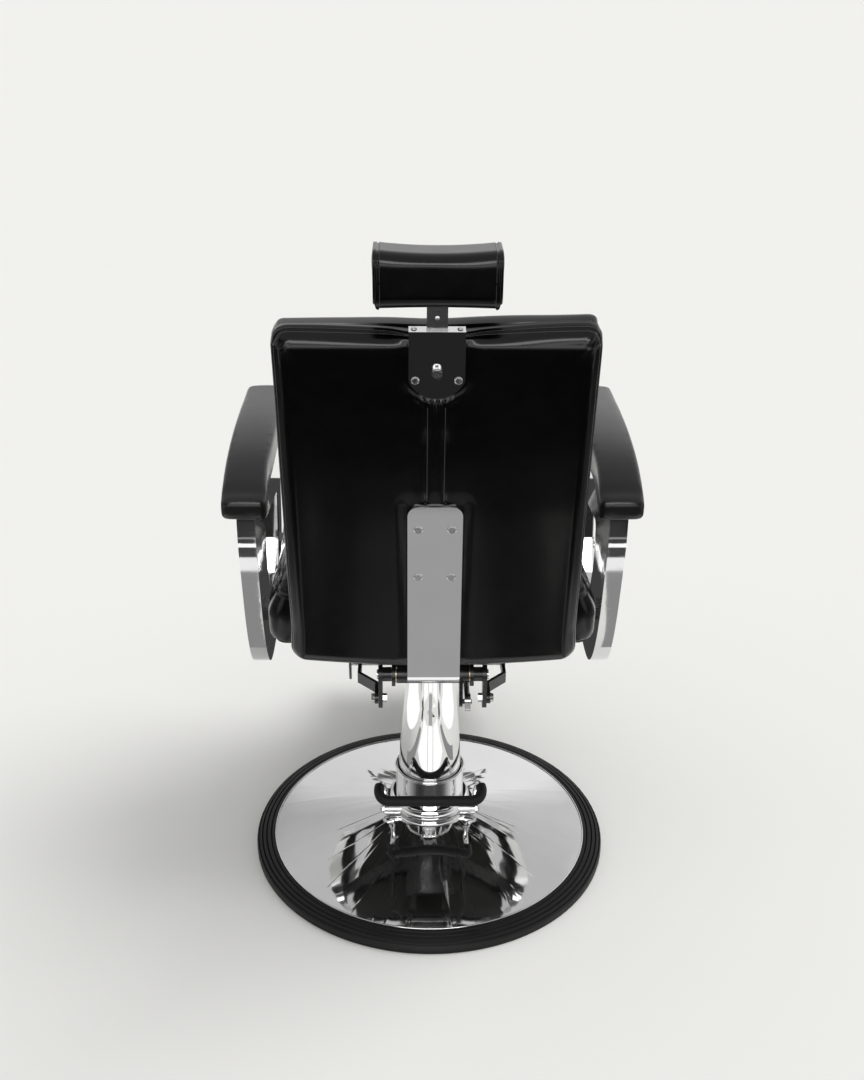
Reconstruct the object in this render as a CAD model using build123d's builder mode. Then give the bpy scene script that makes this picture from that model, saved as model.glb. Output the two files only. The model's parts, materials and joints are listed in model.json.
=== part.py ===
from build123d import *
import math
import os

os.makedirs("parts", exist_ok=True)

# Millimetres. +Z up, the sitter faces -Y, the sitter's left is +X.

# Base and pump
BASE_R = 330
DISC_R = 295
DISC_TOP = 80
WEIGHT_R = 235
PUMP_R = 58.7
CYL_R = 34
CYL_TOP = 350
BORE_R = 25
RAM_R = 24
SPIGOT_R = 18
RUN = 0.05
COLLAR_R = 74.5
SLEEVE_R = 63.2
SLEEVE_TOP = 163

# Foot pedal
PEDAL_Y = 42
PEDAL_Z = 92
CAM_SHAFT_R = 6
CAM_E = 5
CAM_R = 7.5
PLUNGER_Y = 46.8
BAR_Y = 98
BAR_Z = 150

# Seat frame
PLATE_Z = 439
RAIL_X = 62
RAIL_T = 6
RAIL_Z = 447
RAIL_TOP = 472
BACK_PIVOT = (180, 470)
LINK_REAR = (180, 424)
FOOT_PIVOT = (-318, 455)
LINK_FRONT = (-318, 409)
CROSS_Y = (-20, -295)
CROSS_TOP = 497
SEAT_HALF = 280
SEAT_FRONT = -350
SEAT_REAR = 137
SEAT_TOP = 620

# Arms
ARM_X = 294
ARM_T = 30
PAD_X = 272
PAD_W = 75

# Backrest, set out on its rear plane
LEAN = 3.5
BACK_Y = 245
BACK_Z = 515
SKIN = 5
BACK_T = 75
BRACKET_W = 84
BRACKET_TOP = 812
HEAD_W = 81
HEAD_TOP = 1089
HEAD_LOW = 988
HEAD_ARC = 1014
KNOB_Z = 1030
KNOB_OUT = 3
GUIDE_LOW = 930
BAR_W = 30
BAR_T = 6
BAR_IN = 8

# Footrest
FOOT_X = 162.5
FOOT_T = 5
FOOT_END = (-399, 118)

# Gas spring
GAS_X = -58
GAS_Z = 425.75
GAS_PIN_Y = 197.6
GAS_PIN_Z = 427.5

SIDES = (1, -1)
LEAN_SIN = math.sin(math.radians(LEAN))
LEAN_COS = math.cos(math.radians(LEAN))
BACK = Plane(
    origin=(0, BACK_Y, BACK_Z),
    x_dir=(-1, 0, 0),
    z_dir=(0, LEAN_COS, -LEAN_SIN),
)


def up_back(z):
    """Distance along the leaning back for a height above the floor."""
    return (z - BACK_Z) / LEAN_COS


def back_plane(depth):
    """The backrest's rear plane moved into the back by a depth."""
    return BACK.offset(-depth)


FLANGE = Plane(
    origin=BACK.from_local_coords((0, up_back(HEAD_TOP), -14)),
    x_dir=(-1, 0, 0),
    z_dir=(0, LEAN_SIN, LEAN_COS),
)


# ---------------------------------------------------------------- base

with BuildPart() as base_disc:
    with BuildSketch(Plane.XZ):
        with BuildLine():
            Line((PUMP_R + 0.2, DISC_TOP), (84, DISC_TOP))
            Spline(
                (84, DISC_TOP), (140, 66.5), (200, 50.8), (255, 35.9), (284, 27.6), (DISC_R, 24),
            )
            Line((DISC_R, 24), (DISC_R, 12))
            Line((DISC_R, 12), (DISC_R - 3, 12))
            Line((DISC_R - 3, 12), (DISC_R - 3, 22.4))
            Spline(
                (DISC_R - 3, 22.4), (283, 25), (254, 33), (199, 48), (139.5, 63.6), (84, 77),
            )
            Line((84, 77), (PUMP_R + 0.2, 77))
            Line((PUMP_R + 0.2, 77), (PUMP_R + 0.2, DISC_TOP))
        make_face()
    revolve(axis=Axis.Z)
base_disc.part.label = "base_disc"
export_step(base_disc.part, "parts/base_disc.step")

with BuildPart() as base_ring:
    with BuildSketch(Plane.XZ):
        Polygon(
            (284, 0), (BASE_R - 1, 0), (BASE_R, 1.5), (BASE_R, 13), (BASE_R - 2, 17),
            (BASE_R - 3.5, 15.6), (BASE_R - 5, 18.6), (BASE_R - 9, 20.6), (BASE_R - 10.5, 18.4),
            (BASE_R - 12, 21.4), (BASE_R - 17, 22.8), (BASE_R - 18.5, 20.6), (BASE_R - 20, 23.2),
            (BASE_R - 26, 24), (BASE_R - 27.5, 21.8), (BASE_R - 29, 24),
            (DISC_R + 2, 24.6), (DISC_R + 0.2, 23.4), (DISC_R + 0.2, 12), (284, 12),
            align=None,
        )
    revolve(axis=Axis.Z)
base_ring.part.label = "base_ring"
export_step(base_ring.part, "parts/base_ring.step")

with BuildPart() as base_weight:
    with Locations((0, 0, 12)):
        Cylinder(WEIGHT_R, 10, align=(Align.CENTER, Align.CENTER, Align.MIN))
    with Locations((0, 0, 12)):
        Cylinder(66.4, 10, align=(Align.CENTER, Align.CENTER, Align.MIN), mode=Mode.SUBTRACT)
    with Locations((0, 0, 12)), PolarLocations(78, 4, start_angle=45):
        Cylinder(5.2, 30, mode=Mode.SUBTRACT)
    chamfer(base_weight.edges().group_by(Axis.Z)[-1].sort_by(SortBy.RADIUS)[-1], 3)
base_weight.part.label = "base_weight"
export_step(base_weight.part, "parts/base_weight.step")

with BuildPart() as base_bolts:
    with BuildSketch(Plane.XY.offset(22)):
        with PolarLocations(78, 4, start_angle=45):
            RegularPolygon(9.2, 6)
    extrude(amount=6.5)
    with BuildSketch(Plane.XY.offset(1)):
        with PolarLocations(78, 4, start_angle=45):
            Circle(5)
    extrude(amount=21)
base_bolts.part.label = "base_bolts"
export_step(base_bolts.part, "parts/base_bolts.step")

with BuildPart() as pump_body:
    with BuildSketch(Plane.XZ):
        Polygon(
            (0, 0), (90, 0), (90, 12), (66, 12), (66, 77), (PUMP_R, 77), (PUMP_R, 102),
            (CYL_R + 0.1, 102), (CYL_R + 0.1, 8), (0, 8),
            align=None,
        )
    revolve(axis=Axis.Z)
    with Locations((0, 0, 6)), PolarLocations(78, 4, start_angle=45):
        Cylinder(5.2, 20, mode=Mode.SUBTRACT)
    with Locations((0, 46.2, 91)):
        Box(24, 21.6, 22, mode=Mode.SUBTRACT)
    with Locations((0, PLUNGER_Y, 71)):
        Cylinder(9, 18.2, mode=Mode.SUBTRACT)
    with Locations((0, PLUNGER_Y, 48)):
        Cylinder(5 + RUN, 28.2, mode=Mode.SUBTRACT)
    with BuildSketch(Plane.YZ):
        with Locations((PEDAL_Y, PEDAL_Z)):
            Circle(CAM_SHAFT_R + RUN)
    extrude(amount=70, both=True, mode=Mode.SUBTRACT)
pump_body.part.label = "pump_body"
export_step(pump_body.part, "parts/pump_body.step")

with BuildPart() as pump_cylinder:
    with BuildSketch(Plane.XZ):
        Polygon(
            (0, 8), (CYL_R, 8), (CYL_R, CYL_TOP), (BORE_R, CYL_TOP), (BORE_R, 16), (0, 16),
            align=None,
        )
    revolve(axis=Axis.Z)
pump_cylinder.part.label = "pump_cylinder"
export_step(pump_cylinder.part, "parts/pump_cylinder.step")

with BuildPart() as pump_gland:
    with BuildSketch(Plane.XZ):
        Polygon(
            (RAM_R + RUN, CYL_TOP), (CYL_R, CYL_TOP), (CYL_R, CYL_TOP + 8), (CYL_R - 4, CYL_TOP + 12),
            (RAM_R + RUN, CYL_TOP + 12),
            align=None,
        )
    revolve(axis=Axis.Z)
pump_gland.part.label = "pump_gland"
export_step(pump_gland.part, "parts/pump_gland.step")

with BuildPart() as pump_collar:
    with BuildSketch(Plane.XZ):
        with BuildLine():
            Line((55, DISC_TOP), (71, DISC_TOP))
            Spline(
                (71, DISC_TOP), (COLLAR_R, 87), (COLLAR_R, 98), (69, 106),
            )
            Line((69, 106), (55, 106))
            Line((55, 106), (55, DISC_TOP))
        make_face()
    revolve(axis=Axis.Z)
    with BuildSketch(Plane.YZ):
        with Locations((PEDAL_Y, PEDAL_Z)):
            Circle(11)
    extrude(amount=76, both=True)
    with Locations((0, 0, 90)):
        Cylinder(PUMP_R + 0.1, 40, mode=Mode.SUBTRACT)
    with Locations((0, 0, 118.5)):
        Cylinder(SLEEVE_R + 0.1, 40, mode=Mode.SUBTRACT)
    with BuildSketch(Plane.YZ):
        with Locations((PEDAL_Y, PEDAL_Z)):
            Circle(CAM_SHAFT_R + RUN)
    extrude(amount=90, both=True, mode=Mode.SUBTRACT)
pump_collar.part.label = "pump_collar"
export_step(pump_collar.part, "parts/pump_collar.step")

with BuildPart() as lower_sleeve:
    with BuildSketch(Plane.XZ):
        with Locations((SLEEVE_R - 1.35, (98.5 + SLEEVE_TOP) / 2)):
            Rectangle(2.7, SLEEVE_TOP - 98.5)
        with Locations((SLEEVE_R - 0.6, SLEEVE_TOP)):
            Circle(2.8)
    revolve(axis=Axis.Z)
lower_sleeve.part.label = "lower_sleeve"
export_step(lower_sleeve.part, "parts/lower_sleeve.step")

# ---------------------------------------------------------------- pedal and plunger

EYE_IN = 77.5
EYE_OUT = 84.5
ARM_ROD_X = 82.5
HOOK = (93, 70, 162)
BAR_END = (72, BAR_Y, BAR_Z)

with BuildPart() as pedal_yoke:
    with BuildLine() as yoke_path:
        Spline(
            (ARM_ROD_X, PEDAL_Y, 101), HOOK,
            tangents=[(0, 0.2, 1), (0.2, 1, -0.1)],
        )
        Spline(HOOK, BAR_END, tangents=[(0.2, 1, -0.1), (-1, 0, 0)])
        Line(BAR_END, (-BAR_END[0], BAR_Y, BAR_Z))
        Spline(
            (-BAR_END[0], BAR_Y, BAR_Z), (-HOOK[0], HOOK[1], HOOK[2]),
            tangents=[(-1, 0, 0), (0.2, -1, 0.1)],
        )
        Spline(
            (-HOOK[0], HOOK[1], HOOK[2]), (-ARM_ROD_X, PEDAL_Y, 101),
            tangents=[(0.2, -1, 0.1), (0, -0.2, -1)],
        )
    with BuildSketch(Plane(origin=yoke_path.line @ 0, z_dir=yoke_path.line % 0)):
        Circle(5.5)
    sweep(path=yoke_path.line)
    with BuildSketch(Plane.YZ.offset(EYE_IN)):
        with Locations((PEDAL_Y, PEDAL_Z)):
            Circle(11)
    extrude(amount=EYE_OUT - EYE_IN)
    with BuildSketch(Plane.YZ.offset(-EYE_OUT)):
        with Locations((PEDAL_Y, PEDAL_Z)):
            Circle(11)
    extrude(amount=EYE_OUT - EYE_IN)
    with BuildSketch(Plane.YZ):
        with Locations((PEDAL_Y, PEDAL_Z)):
            Circle(CAM_SHAFT_R)
    extrude(amount=90, both=True, mode=Mode.SUBTRACT)
pedal_yoke.part.label = "pedal_yoke"
export_step(pedal_yoke.part, "parts/pedal_yoke.step")

with BuildPart() as pedal_rubber:
    with BuildLine() as bar_path:
        Spline(HOOK, BAR_END, tangents=[(0.2, 1, -0.1), (-1, 0, 0)])
        Line(BAR_END, (-BAR_END[0], BAR_Y, BAR_Z))
        Spline(
            (-BAR_END[0], BAR_Y, BAR_Z), (-HOOK[0], HOOK[1], HOOK[2]),
            tangents=[(-1, 0, 0), (0.2, -1, 0.1)],
        )
    with BuildSketch(Plane(origin=bar_path.line @ 0, z_dir=bar_path.line % 0)):
        Circle(9.6)
        Circle(5.6, mode=Mode.SUBTRACT)
    sweep(path=bar_path.line)
pedal_rubber.part.label = "pedal_rubber"
export_step(pedal_rubber.part, "parts/pedal_rubber.step")

with BuildPart() as pump_cam_shaft:
    with BuildSketch(Plane.YZ):
        with Locations((PEDAL_Y, PEDAL_Z)):
            Circle(CAM_SHAFT_R)
    extrude(amount=EYE_OUT, both=True)
    with BuildSketch(Plane.YZ):
        with Locations((PEDAL_Y + CAM_E, PEDAL_Z)):
            Circle(CAM_R)
    extrude(amount=8, both=True)
pump_cam_shaft.part.label = "pump_cam_shaft"
export_step(pump_cam_shaft.part, "parts/pump_cam_shaft.step")

with BuildPart() as pedal_nuts:
    for side in SIDES:
        with BuildSketch(Plane.YZ.offset(side * EYE_OUT)):
            with Locations((PEDAL_Y, PEDAL_Z)):
                RegularPolygon(8, 6)
        extrude(amount=side * 5)
        with BuildSketch(Plane.YZ.offset(side * (EYE_OUT + 5))):
            with Locations((PEDAL_Y, PEDAL_Z)):
                Circle(6.4)
        extrude(amount=side * 3.5, taper=25)
pedal_nuts.part.label = "pedal_nuts"
export_step(pedal_nuts.part, "parts/pedal_nuts.step")

with BuildPart() as pump_plunger:
    with Locations((0, PLUNGER_Y, 42)):
        Cylinder(5, 42.4, align=(Align.CENTER, Align.CENTER, Align.MIN))
    with Locations((0, PLUNGER_Y, 80.2)):
        Cylinder(8, 4.2, align=(Align.CENTER, Align.CENTER, Align.MIN))
pump_plunger.part.label = "pump_plunger"
export_step(pump_plunger.part, "parts/pump_plunger.step")

with BuildPart() as plunger_spring:
    with BuildLine() as coil:
        Helix(pitch=3, height=15, radius=6.6, center=(0, PLUNGER_Y, 63.4))
    with BuildSketch(Plane(origin=coil.line @ 0, z_dir=coil.line % 0)):
        Circle(0.8)
    sweep(path=coil.line, is_frenet=True)
plunger_spring.part.label = "plunger_spring"
export_step(plunger_spring.part, "parts/plunger_spring.step")

# ---------------------------------------------------------------- ram

with BuildPart() as piston_ram:
    with BuildSketch(Plane.XZ):
        Polygon(
            (0, 110), (RAM_R - 2, 110), (RAM_R, 112), (RAM_R, 420), (SPIGOT_R, 420),
            (SPIGOT_R, 444), (SPIGOT_R - 2, 446), (0, 446),
            align=None,
        )
    revolve(axis=Axis.Z)
piston_ram.part.label = "piston_ram"
export_step(piston_ram.part, "parts/piston_ram.step")

# ---------------------------------------------------------------- seat frame

with BuildPart() as column_shroud:
    with BuildSketch(Plane.XZ):
        with BuildLine():
            Spline(
                (58.2, 150), (57.3, 183), (55.5, 217), (52.5, 261), (48.4, 305),
                (46.4, 326), (44.6, 370), (44, PLATE_Z),
            )
            Line((44, PLATE_Z), (41.8, PLATE_Z))
            Spline(
                (41.8, PLATE_Z), (42.4, 370), (44.2, 326), (46.2, 305), (50.3, 261),
                (53.3, 217), (55.1, 183), (56, 150),
            )
            Line((56, 150), (58.2, 150))
        make_face()
    revolve(axis=Axis.Z)
column_shroud.part.label = "column_shroud"
export_step(column_shroud.part, "parts/column_shroud.step")

with BuildPart() as top_plate:
    with Locations((0, 0, PLATE_Z)):
        Box(170, 170, RAIL_Z - PLATE_Z, align=(Align.CENTER, Align.CENTER, Align.MIN))
    fillet(top_plate.edges().filter_by(Axis.Z), 12)
    with Locations((0, 0, 420.2)):
        Cylinder(34, PLATE_Z - 420.2, align=(Align.CENTER, Align.CENTER, Align.MIN))
    with Locations((0, 0, PLATE_Z)):
        Cylinder(SPIGOT_R + RUN, 60, mode=Mode.SUBTRACT)
    with Locations((0, 0, PLATE_Z)), GridLocations(100, 120, 2, 2):
        Cylinder(4.2, 40, mode=Mode.SUBTRACT)
top_plate.part.label = "top_plate"
export_step(top_plate.part, "parts/top_plate.step")

for side, name in ((1, "left"), (-1, "right")):
    with BuildPart() as seat_rail:
        with BuildSketch(Plane.YZ.offset(side * RAIL_X)):
            with Locations(((FOOT_PIVOT[0] + BACK_PIVOT[0]) / 2, (RAIL_Z + RAIL_TOP) / 2)):
                Rectangle(BACK_PIVOT[0] - FOOT_PIVOT[0], RAIL_TOP - RAIL_Z)
            with Locations(BACK_PIVOT):
                Circle(20)
            with Locations(FOOT_PIVOT):
                Circle(14)
        extrude(amount=side * RAIL_T)
        with BuildSketch(Plane.XY.offset(RAIL_Z)):
            with Locations((side * 50, -85)):
                Rectangle(24, 410)
        extrude(amount=5)
        with BuildSketch(Plane.YZ):
            with Locations(BACK_PIVOT):
                Circle(10)
            with Locations(FOOT_PIVOT):
                Circle(7 + RUN)
            if side < 0:
                with Locations((-150, 459.5)):
                    Circle(5 + RUN)
        extrude(amount=side * 80, mode=Mode.SUBTRACT)
        with Locations((0, 0, RAIL_Z)), GridLocations(100, 120, 2, 2):
            Cylinder(4.2, 30, mode=Mode.SUBTRACT)
    seat_rail.part.label = "seat_rail_" + name
    export_step(seat_rail.part, "parts/seat_rail_" + name + ".step")

with BuildPart() as seat_bolts:
    with BuildSketch(Plane.XY.offset(RAIL_Z + 5)):
        with GridLocations(100, 120, 2, 2):
            RegularPolygon(7.2, 6)
    extrude(amount=5.3)
    with BuildSketch(Plane.XY.offset(PLATE_Z)):
        with GridLocations(100, 120, 2, 2):
            Circle(4)
    extrude(amount=13)
    for side in SIDES:
        for cross_y in CROSS_Y:
            for dy in (-11, 11):
                with BuildSketch(Plane.YZ.offset(side * (ARM_X + ARM_T))):
                    with Locations((cross_y + dy, 484.5)):
                        Circle(7)
                extrude(amount=side * 5)
                with BuildSketch(Plane.YZ.offset(side * (ARM_X + ARM_T + 5))):
                    with Locations((cross_y + dy, 484.5)):
                        RegularPolygon(3.4, 6)
                extrude(amount=-side * 3.5, mode=Mode.SUBTRACT)
                with BuildSketch(Plane.YZ.offset(side * (ARM_X + ARM_T))):
                    with Locations((cross_y + dy, 484.5)):
                        Circle(4)
                extrude(amount=-side * 40)
seat_bolts.part.label = "seat_bolts"
export_step(seat_bolts.part, "parts/seat_bolts.step")

for cross_y, name in ((CROSS_Y[0], "rear"), (CROSS_Y[1], "front")):
    with BuildPart() as crossmember:
        with BuildSketch(Plane.YZ):
            with Locations((cross_y, (RAIL_TOP + CROSS_TOP) / 2)):
                RectangleRounded(44, 25, 3)
                RectangleRounded(40, 21, 1.5, mode=Mode.SUBTRACT)
        extrude(amount=ARM_X, both=True)
        for side in SIDES:
            with BuildSketch(Plane.YZ.offset(side * ARM_X)):
                with Locations((cross_y, (RAIL_TOP + CROSS_TOP) / 2)):
                    RectangleRounded(44, 25, 3)
                    with Locations((-11, 0), (11, 0)):
                        Circle(4.1, mode=Mode.SUBTRACT)
            extrude(amount=-side * 6)
    crossmember.part.label = name + "_crossmember"
    export_step(crossmember.part, "parts/" + name + "_crossmember.step")

with BuildPart() as seat_board:
    with BuildSketch(Plane.XY.offset(CROSS_TOP)):
        with Locations((0, (SEAT_FRONT + SEAT_REAR) / 2)):
            RectangleRounded(2 * SEAT_HALF - 30, SEAT_REAR - SEAT_FRONT - 28, 20)
    extrude(amount=15)
seat_board.part.label = "seat_board"
export_step(seat_board.part, "parts/seat_board.step")

with BuildPart() as seat_cushion:
    with BuildSketch(Plane.XY.offset(CROSS_TOP)):
        with Locations((0, (SEAT_FRONT + SEAT_REAR) / 2)):
            RectangleRounded(2 * SEAT_HALF, SEAT_REAR - SEAT_FRONT, 34)
    extrude(amount=SEAT_TOP - CROSS_TOP)
    fillet(seat_cushion.edges().group_by(Axis.Z)[-1], 24)
    with BuildSketch(Plane.XY.offset(CROSS_TOP)):
        with Locations((0, (SEAT_FRONT + SEAT_REAR) / 2)):
            RectangleRounded(2 * SEAT_HALF - 29.6, SEAT_REAR - SEAT_FRONT - 27.6, 20.2)
    extrude(amount=15.2, mode=Mode.SUBTRACT)
seat_cushion.part.label = "seat_cushion"
export_step(seat_cushion.part, "parts/seat_cushion.step")

FRAME_OPENING = (
    (-70, 634), (-64, 590), (-68, 546), (-92, 494), (-140, 440), (-200, 412),
    (-252, 436), (-284, 500), (-300, 596), (-180, 618),
)
for side, name in ((1, "left"), (-1, "right")):
    with BuildPart() as arm_frame:
        with BuildSketch(Plane.YZ.offset(side * ARM_X)):
            with BuildLine():
                Line((88, 716), (88, 690))
                Spline(
                    (88, 690), (86, 660), (78, 621), (60, 545), (22, 438), (-48, 362), (-130, 350),
                    (-200, 354), (-272, 388), (-328, 460), (-352, 550), (-352, 650), (-344, 742),
                    tangents=[(0, -1), (0.1, 1)],
                )
                Spline((-344, 742), (-200, 747), (-60, 744), (20, 732), (88, 716))
            make_face()
        extrude(amount=side * ARM_T)
        with BuildSketch(Plane.YZ.offset(side * ARM_X)) as opening:
            Polygon(*FRAME_OPENING, align=None)
            fillet(opening.vertices(), 14)
        extrude(amount=side * ARM_T, mode=Mode.SUBTRACT)
        rims = arm_frame.edges().filter_by(lambda edge: edge.length < 200 and edge.center().Z < 640)
        fillet(rims.filter_by(Axis.X, reverse=True), 2.5)
        with BuildSketch(Plane.YZ.offset(side * ARM_X)):
            for cross_y in CROSS_Y:
                with Locations((cross_y - 11, 484.5), (cross_y + 11, 484.5)):
                    Circle(4.2)
        extrude(amount=side * ARM_T, mode=Mode.SUBTRACT)
    arm_frame.part.label = "arm_frame_" + name
    export_step(arm_frame.part, "parts/arm_frame_" + name + ".step")

    with BuildPart() as arm_pad:
        with BuildSketch(Plane.YZ.offset(side * PAD_X)):
            with BuildLine():
                Spline((-344, 742), (-200, 747), (-60, 744), (20, 732), (88, 716))
                Line((88, 716), (105, 716))
                Line((105, 716), (105, 748))
                Spline((105, 748), (40, 779), (-60, 797), (-200, 800), (-344, 795))
                Line((-344, 795), (-344, 742))
            make_face()
        extrude(amount=side * PAD_W)
        fillet(arm_pad.edges().filter_by(Axis.X), 9)
        fillet(arm_pad.faces().sort_by(Axis.Z)[-1].edges(), 7)
    arm_pad.part.label = "arm_pad_" + name
    export_step(arm_pad.part, "parts/arm_pad_" + name + ".step")

with BuildPart() as pivot_bushes:
    for side in SIDES:
        with BuildSketch(Plane.YZ.offset(side * RAIL_X)):
            with Locations(BACK_PIVOT):
                Circle(10)
        extrude(amount=side * RAIL_T)
        with BuildSketch(Plane.YZ.offset(side * 60.4)):
            with Locations(BACK_PIVOT):
                Circle(14)
        extrude(amount=side * (RAIL_X - 60.4))
    with BuildSketch(Plane.YZ):
        with Locations(BACK_PIVOT):
            Circle(8 + RUN)
    extrude(amount=90, both=True, mode=Mode.SUBTRACT)
pivot_bushes.part.label = "pivot_bushes"
export_step(pivot_bushes.part, "parts/pivot_bushes.step")

with BuildPart() as gas_cylinder:
    with BuildSketch(Plane(origin=(GAS_X, -145, GAS_Z), x_dir=(1, 0, 0), z_dir=(0, 1, 0))):
        Circle(11)
    extrude(amount=205)
    fillet(gas_cylinder.edges().filter_by(GeomType.CIRCLE), 2)
    with BuildSketch(Plane(origin=(GAS_X, -122, GAS_Z), x_dir=(1, 0, 0), z_dir=(0, 1, 0))):
        Circle(9)
    extrude(amount=174, mode=Mode.SUBTRACT)
    with BuildSketch(Plane(origin=(GAS_X, 40, GAS_Z), x_dir=(1, 0, 0), z_dir=(0, 1, 0))):
        Circle(5 + RUN)
    extrude(amount=30, mode=Mode.SUBTRACT)
gas_cylinder.part.label = "gas_cylinder"
export_step(gas_cylinder.part, "parts/gas_cylinder.step")

with BuildPart() as control_brackets:
    with Locations((-58, -155, (415 + RAIL_Z) / 2)):
        Box(20, 20, RAIL_Z - 415)
    with Locations((-200, -150, (447 + CROSS_TOP) / 2)):
        Box(6, 24, CROSS_TOP - 447)
    with Locations((-200, -150, CROSS_TOP - 2)):
        Box(40, 24, 4)
    with BuildSketch(Plane.YZ):
        with Locations((-150, 459.5)):
            Circle(5 + RUN)
    extrude(amount=-220, mode=Mode.SUBTRACT)
control_brackets.part.label = "control_brackets"
export_step(control_brackets.part, "parts/control_brackets.step")

# ---------------------------------------------------------------- recline handle and gas rod

with BuildPart() as recline_handle:
    with BuildLine() as handle_path:
        FilletPolyline(
            (-52, -150, 459.5), (-236, -150, 459.5), (-236, -236, 459.5),
            radius=14,
        )
    with BuildSketch(Plane(origin=(-52, -150, 459.5), z_dir=(-1, 0, 0))):
        Circle(5)
    sweep(path=handle_path.line)
recline_handle.part.label = "recline_handle"
export_step(recline_handle.part, "parts/recline_handle.step")

with BuildPart() as handle_grip:
    with BuildSketch(Plane(origin=(-236, -176, 459.5), x_dir=(1, 0, 0), z_dir=(0, -1, 0))):
        Circle(8.5)
    extrude(amount=64)
    fillet(handle_grip.edges().filter_by(GeomType.CIRCLE), 3)
    with BuildSketch(Plane(origin=(-236, -170, 459.5), x_dir=(1, 0, 0), z_dir=(0, -1, 0))):
        Circle(5.05)
    extrude(amount=66.2, mode=Mode.SUBTRACT)
handle_grip.part.label = "handle_grip"
export_step(handle_grip.part, "parts/handle_grip.step")

with BuildPart() as gas_rod:
    with BuildSketch(Plane(origin=(GAS_X, -60, GAS_Z), x_dir=(1, 0, 0), z_dir=(0, 1, 0))):
        Circle(8.6)
    extrude(amount=12)
    with BuildSketch(Plane(origin=(GAS_X, -50, GAS_Z), x_dir=(1, 0, 0), z_dir=(0, 1, 0))):
        Circle(5)
    extrude(amount=238)
    with BuildSketch(Plane.YZ.offset(GAS_X - 5)):
        with Locations((GAS_PIN_Y, GAS_Z)):
            RectangleRounded(24, 27, 8)
    extrude(amount=10)
    with BuildSketch(Plane.YZ.offset(GAS_X - 6)):
        with Locations((GAS_PIN_Y, GAS_Z)):
            SlotOverall(13, 9, rotation=90)
    extrude(amount=12, mode=Mode.SUBTRACT)
gas_rod.part.label = "gas_rod"
export_step(gas_rod.part, "parts/gas_rod.step")

# ---------------------------------------------------------------- backrest

with BuildPart() as back_pivot_shaft:
    with BuildSketch(Plane.YZ):
        with Locations(BACK_PIVOT):
            Circle(8)
    extrude(amount=93, both=True)
back_pivot_shaft.part.label = "back_pivot_shaft"
export_step(back_pivot_shaft.part, "parts/back_pivot_shaft.step")

with BuildPart() as back_pivot_tube:
    with BuildSketch(Plane.YZ):
        with Locations(BACK_PIVOT):
            Circle(15)
    extrude(amount=60, both=True)
    with BuildSketch(Plane.YZ.offset(-50)):
        with Locations(BACK_PIVOT):
            Circle(19)
        with Locations((GAS_PIN_Y, GAS_PIN_Z)):
            Circle(9)
        make_hull()
    extrude(amount=6)
    with BuildSketch(Plane.YZ.offset(-50)):
        with Locations((GAS_PIN_Y, GAS_PIN_Z)):
            Circle(4)
    extrude(amount=-15)
    with BuildSketch(Plane.YZ):
        with Locations(BACK_PIVOT):
            Circle(8)
    extrude(amount=70, both=True, mode=Mode.SUBTRACT)
back_pivot_tube.part.label = "back_pivot_tube"
export_step(back_pivot_tube.part, "parts/back_pivot_tube.step")

for side, name in ((1, "left"), (-1, "right")):
    with BuildPart() as back_lever:
        with BuildSketch(Plane.YZ.offset(side * 83.5)):
            with Locations(BACK_PIVOT):
                Circle(16)
            with Locations((LINK_REAR[0], LINK_REAR[1] - 6)):
                Circle(12)
            make_hull()
        extrude(amount=side * 7)
        with BuildSketch(Plane.YZ.offset(side * 68.4)):
            with Locations(BACK_PIVOT):
                Circle(12)
        extrude(amount=side * 15.1)
        with BuildSketch(Plane.YZ):
            with Locations(BACK_PIVOT):
                Circle(8)
            with Locations(LINK_REAR):
                Circle(5)
        extrude(amount=side * 100, mode=Mode.SUBTRACT)
    back_lever.part.label = "back_lever_" + name
    export_step(back_lever.part, "parts/back_lever_" + name + ".step")

with BuildPart() as link_bolts:
    for side in SIDES:
        with BuildSketch(Plane.YZ.offset(side * 80)):
            with Locations(LINK_REAR):
                Circle(5)
        extrude(amount=side * 19)
        with BuildSketch(Plane.YZ.offset(side * 97.5)):
            with Locations(LINK_REAR):
                Circle(8)
        extrude(amount=side * 5, taper=15)
        with BuildSketch(Plane.YZ.offset(side * 83.5)):
            with Locations(LINK_REAR):
                RegularPolygon(7.6, 6)
        extrude(amount=-side * 7)
link_bolts.part.label = "link_bolts"
export_step(link_bolts.part, "parts/link_bolts.step")

FOOT_OF_PLATE = BACK_Y - (BACK_Z - 485) * math.tan(math.radians(LEAN))
TOP_OF_PLATE = BACK_Y + (BRACKET_TOP - BACK_Z) * math.tan(math.radians(LEAN))
with BuildPart() as back_bracket:
    with BuildSketch(Plane.YZ.offset(-BRACKET_W / 2)) as bend:
        Polygon(
            (160, 485), (FOOT_OF_PLATE, 485), (TOP_OF_PLATE, BRACKET_TOP),
            (TOP_OF_PLATE - SKIN, BRACKET_TOP), (FOOT_OF_PLATE - SKIN + 0.3, 490), (160, 490),
            align=None,
        )
        fillet(bend.vertices().sort_by_distance((FOOT_OF_PLATE, 485))[0], 20)
        fillet(bend.vertices().sort_by_distance((FOOT_OF_PLATE - SKIN, 490))[0], 15)
    extrude(amount=BRACKET_W)
    fillet(back_bracket.edges().filter_by(Axis.Y).group_by(Axis.Z)[-1], 16)
    with BuildSketch(BACK):
        with Locations((0, up_back(732.5))):
            with GridLocations(51, up_back(774) - up_back(691), 2, 2):
                Circle(3.2)
    extrude(amount=-20, mode=Mode.SUBTRACT)
back_bracket.part.label = "back_bracket"
export_step(back_bracket.part, "parts/back_bracket.step")

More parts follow.
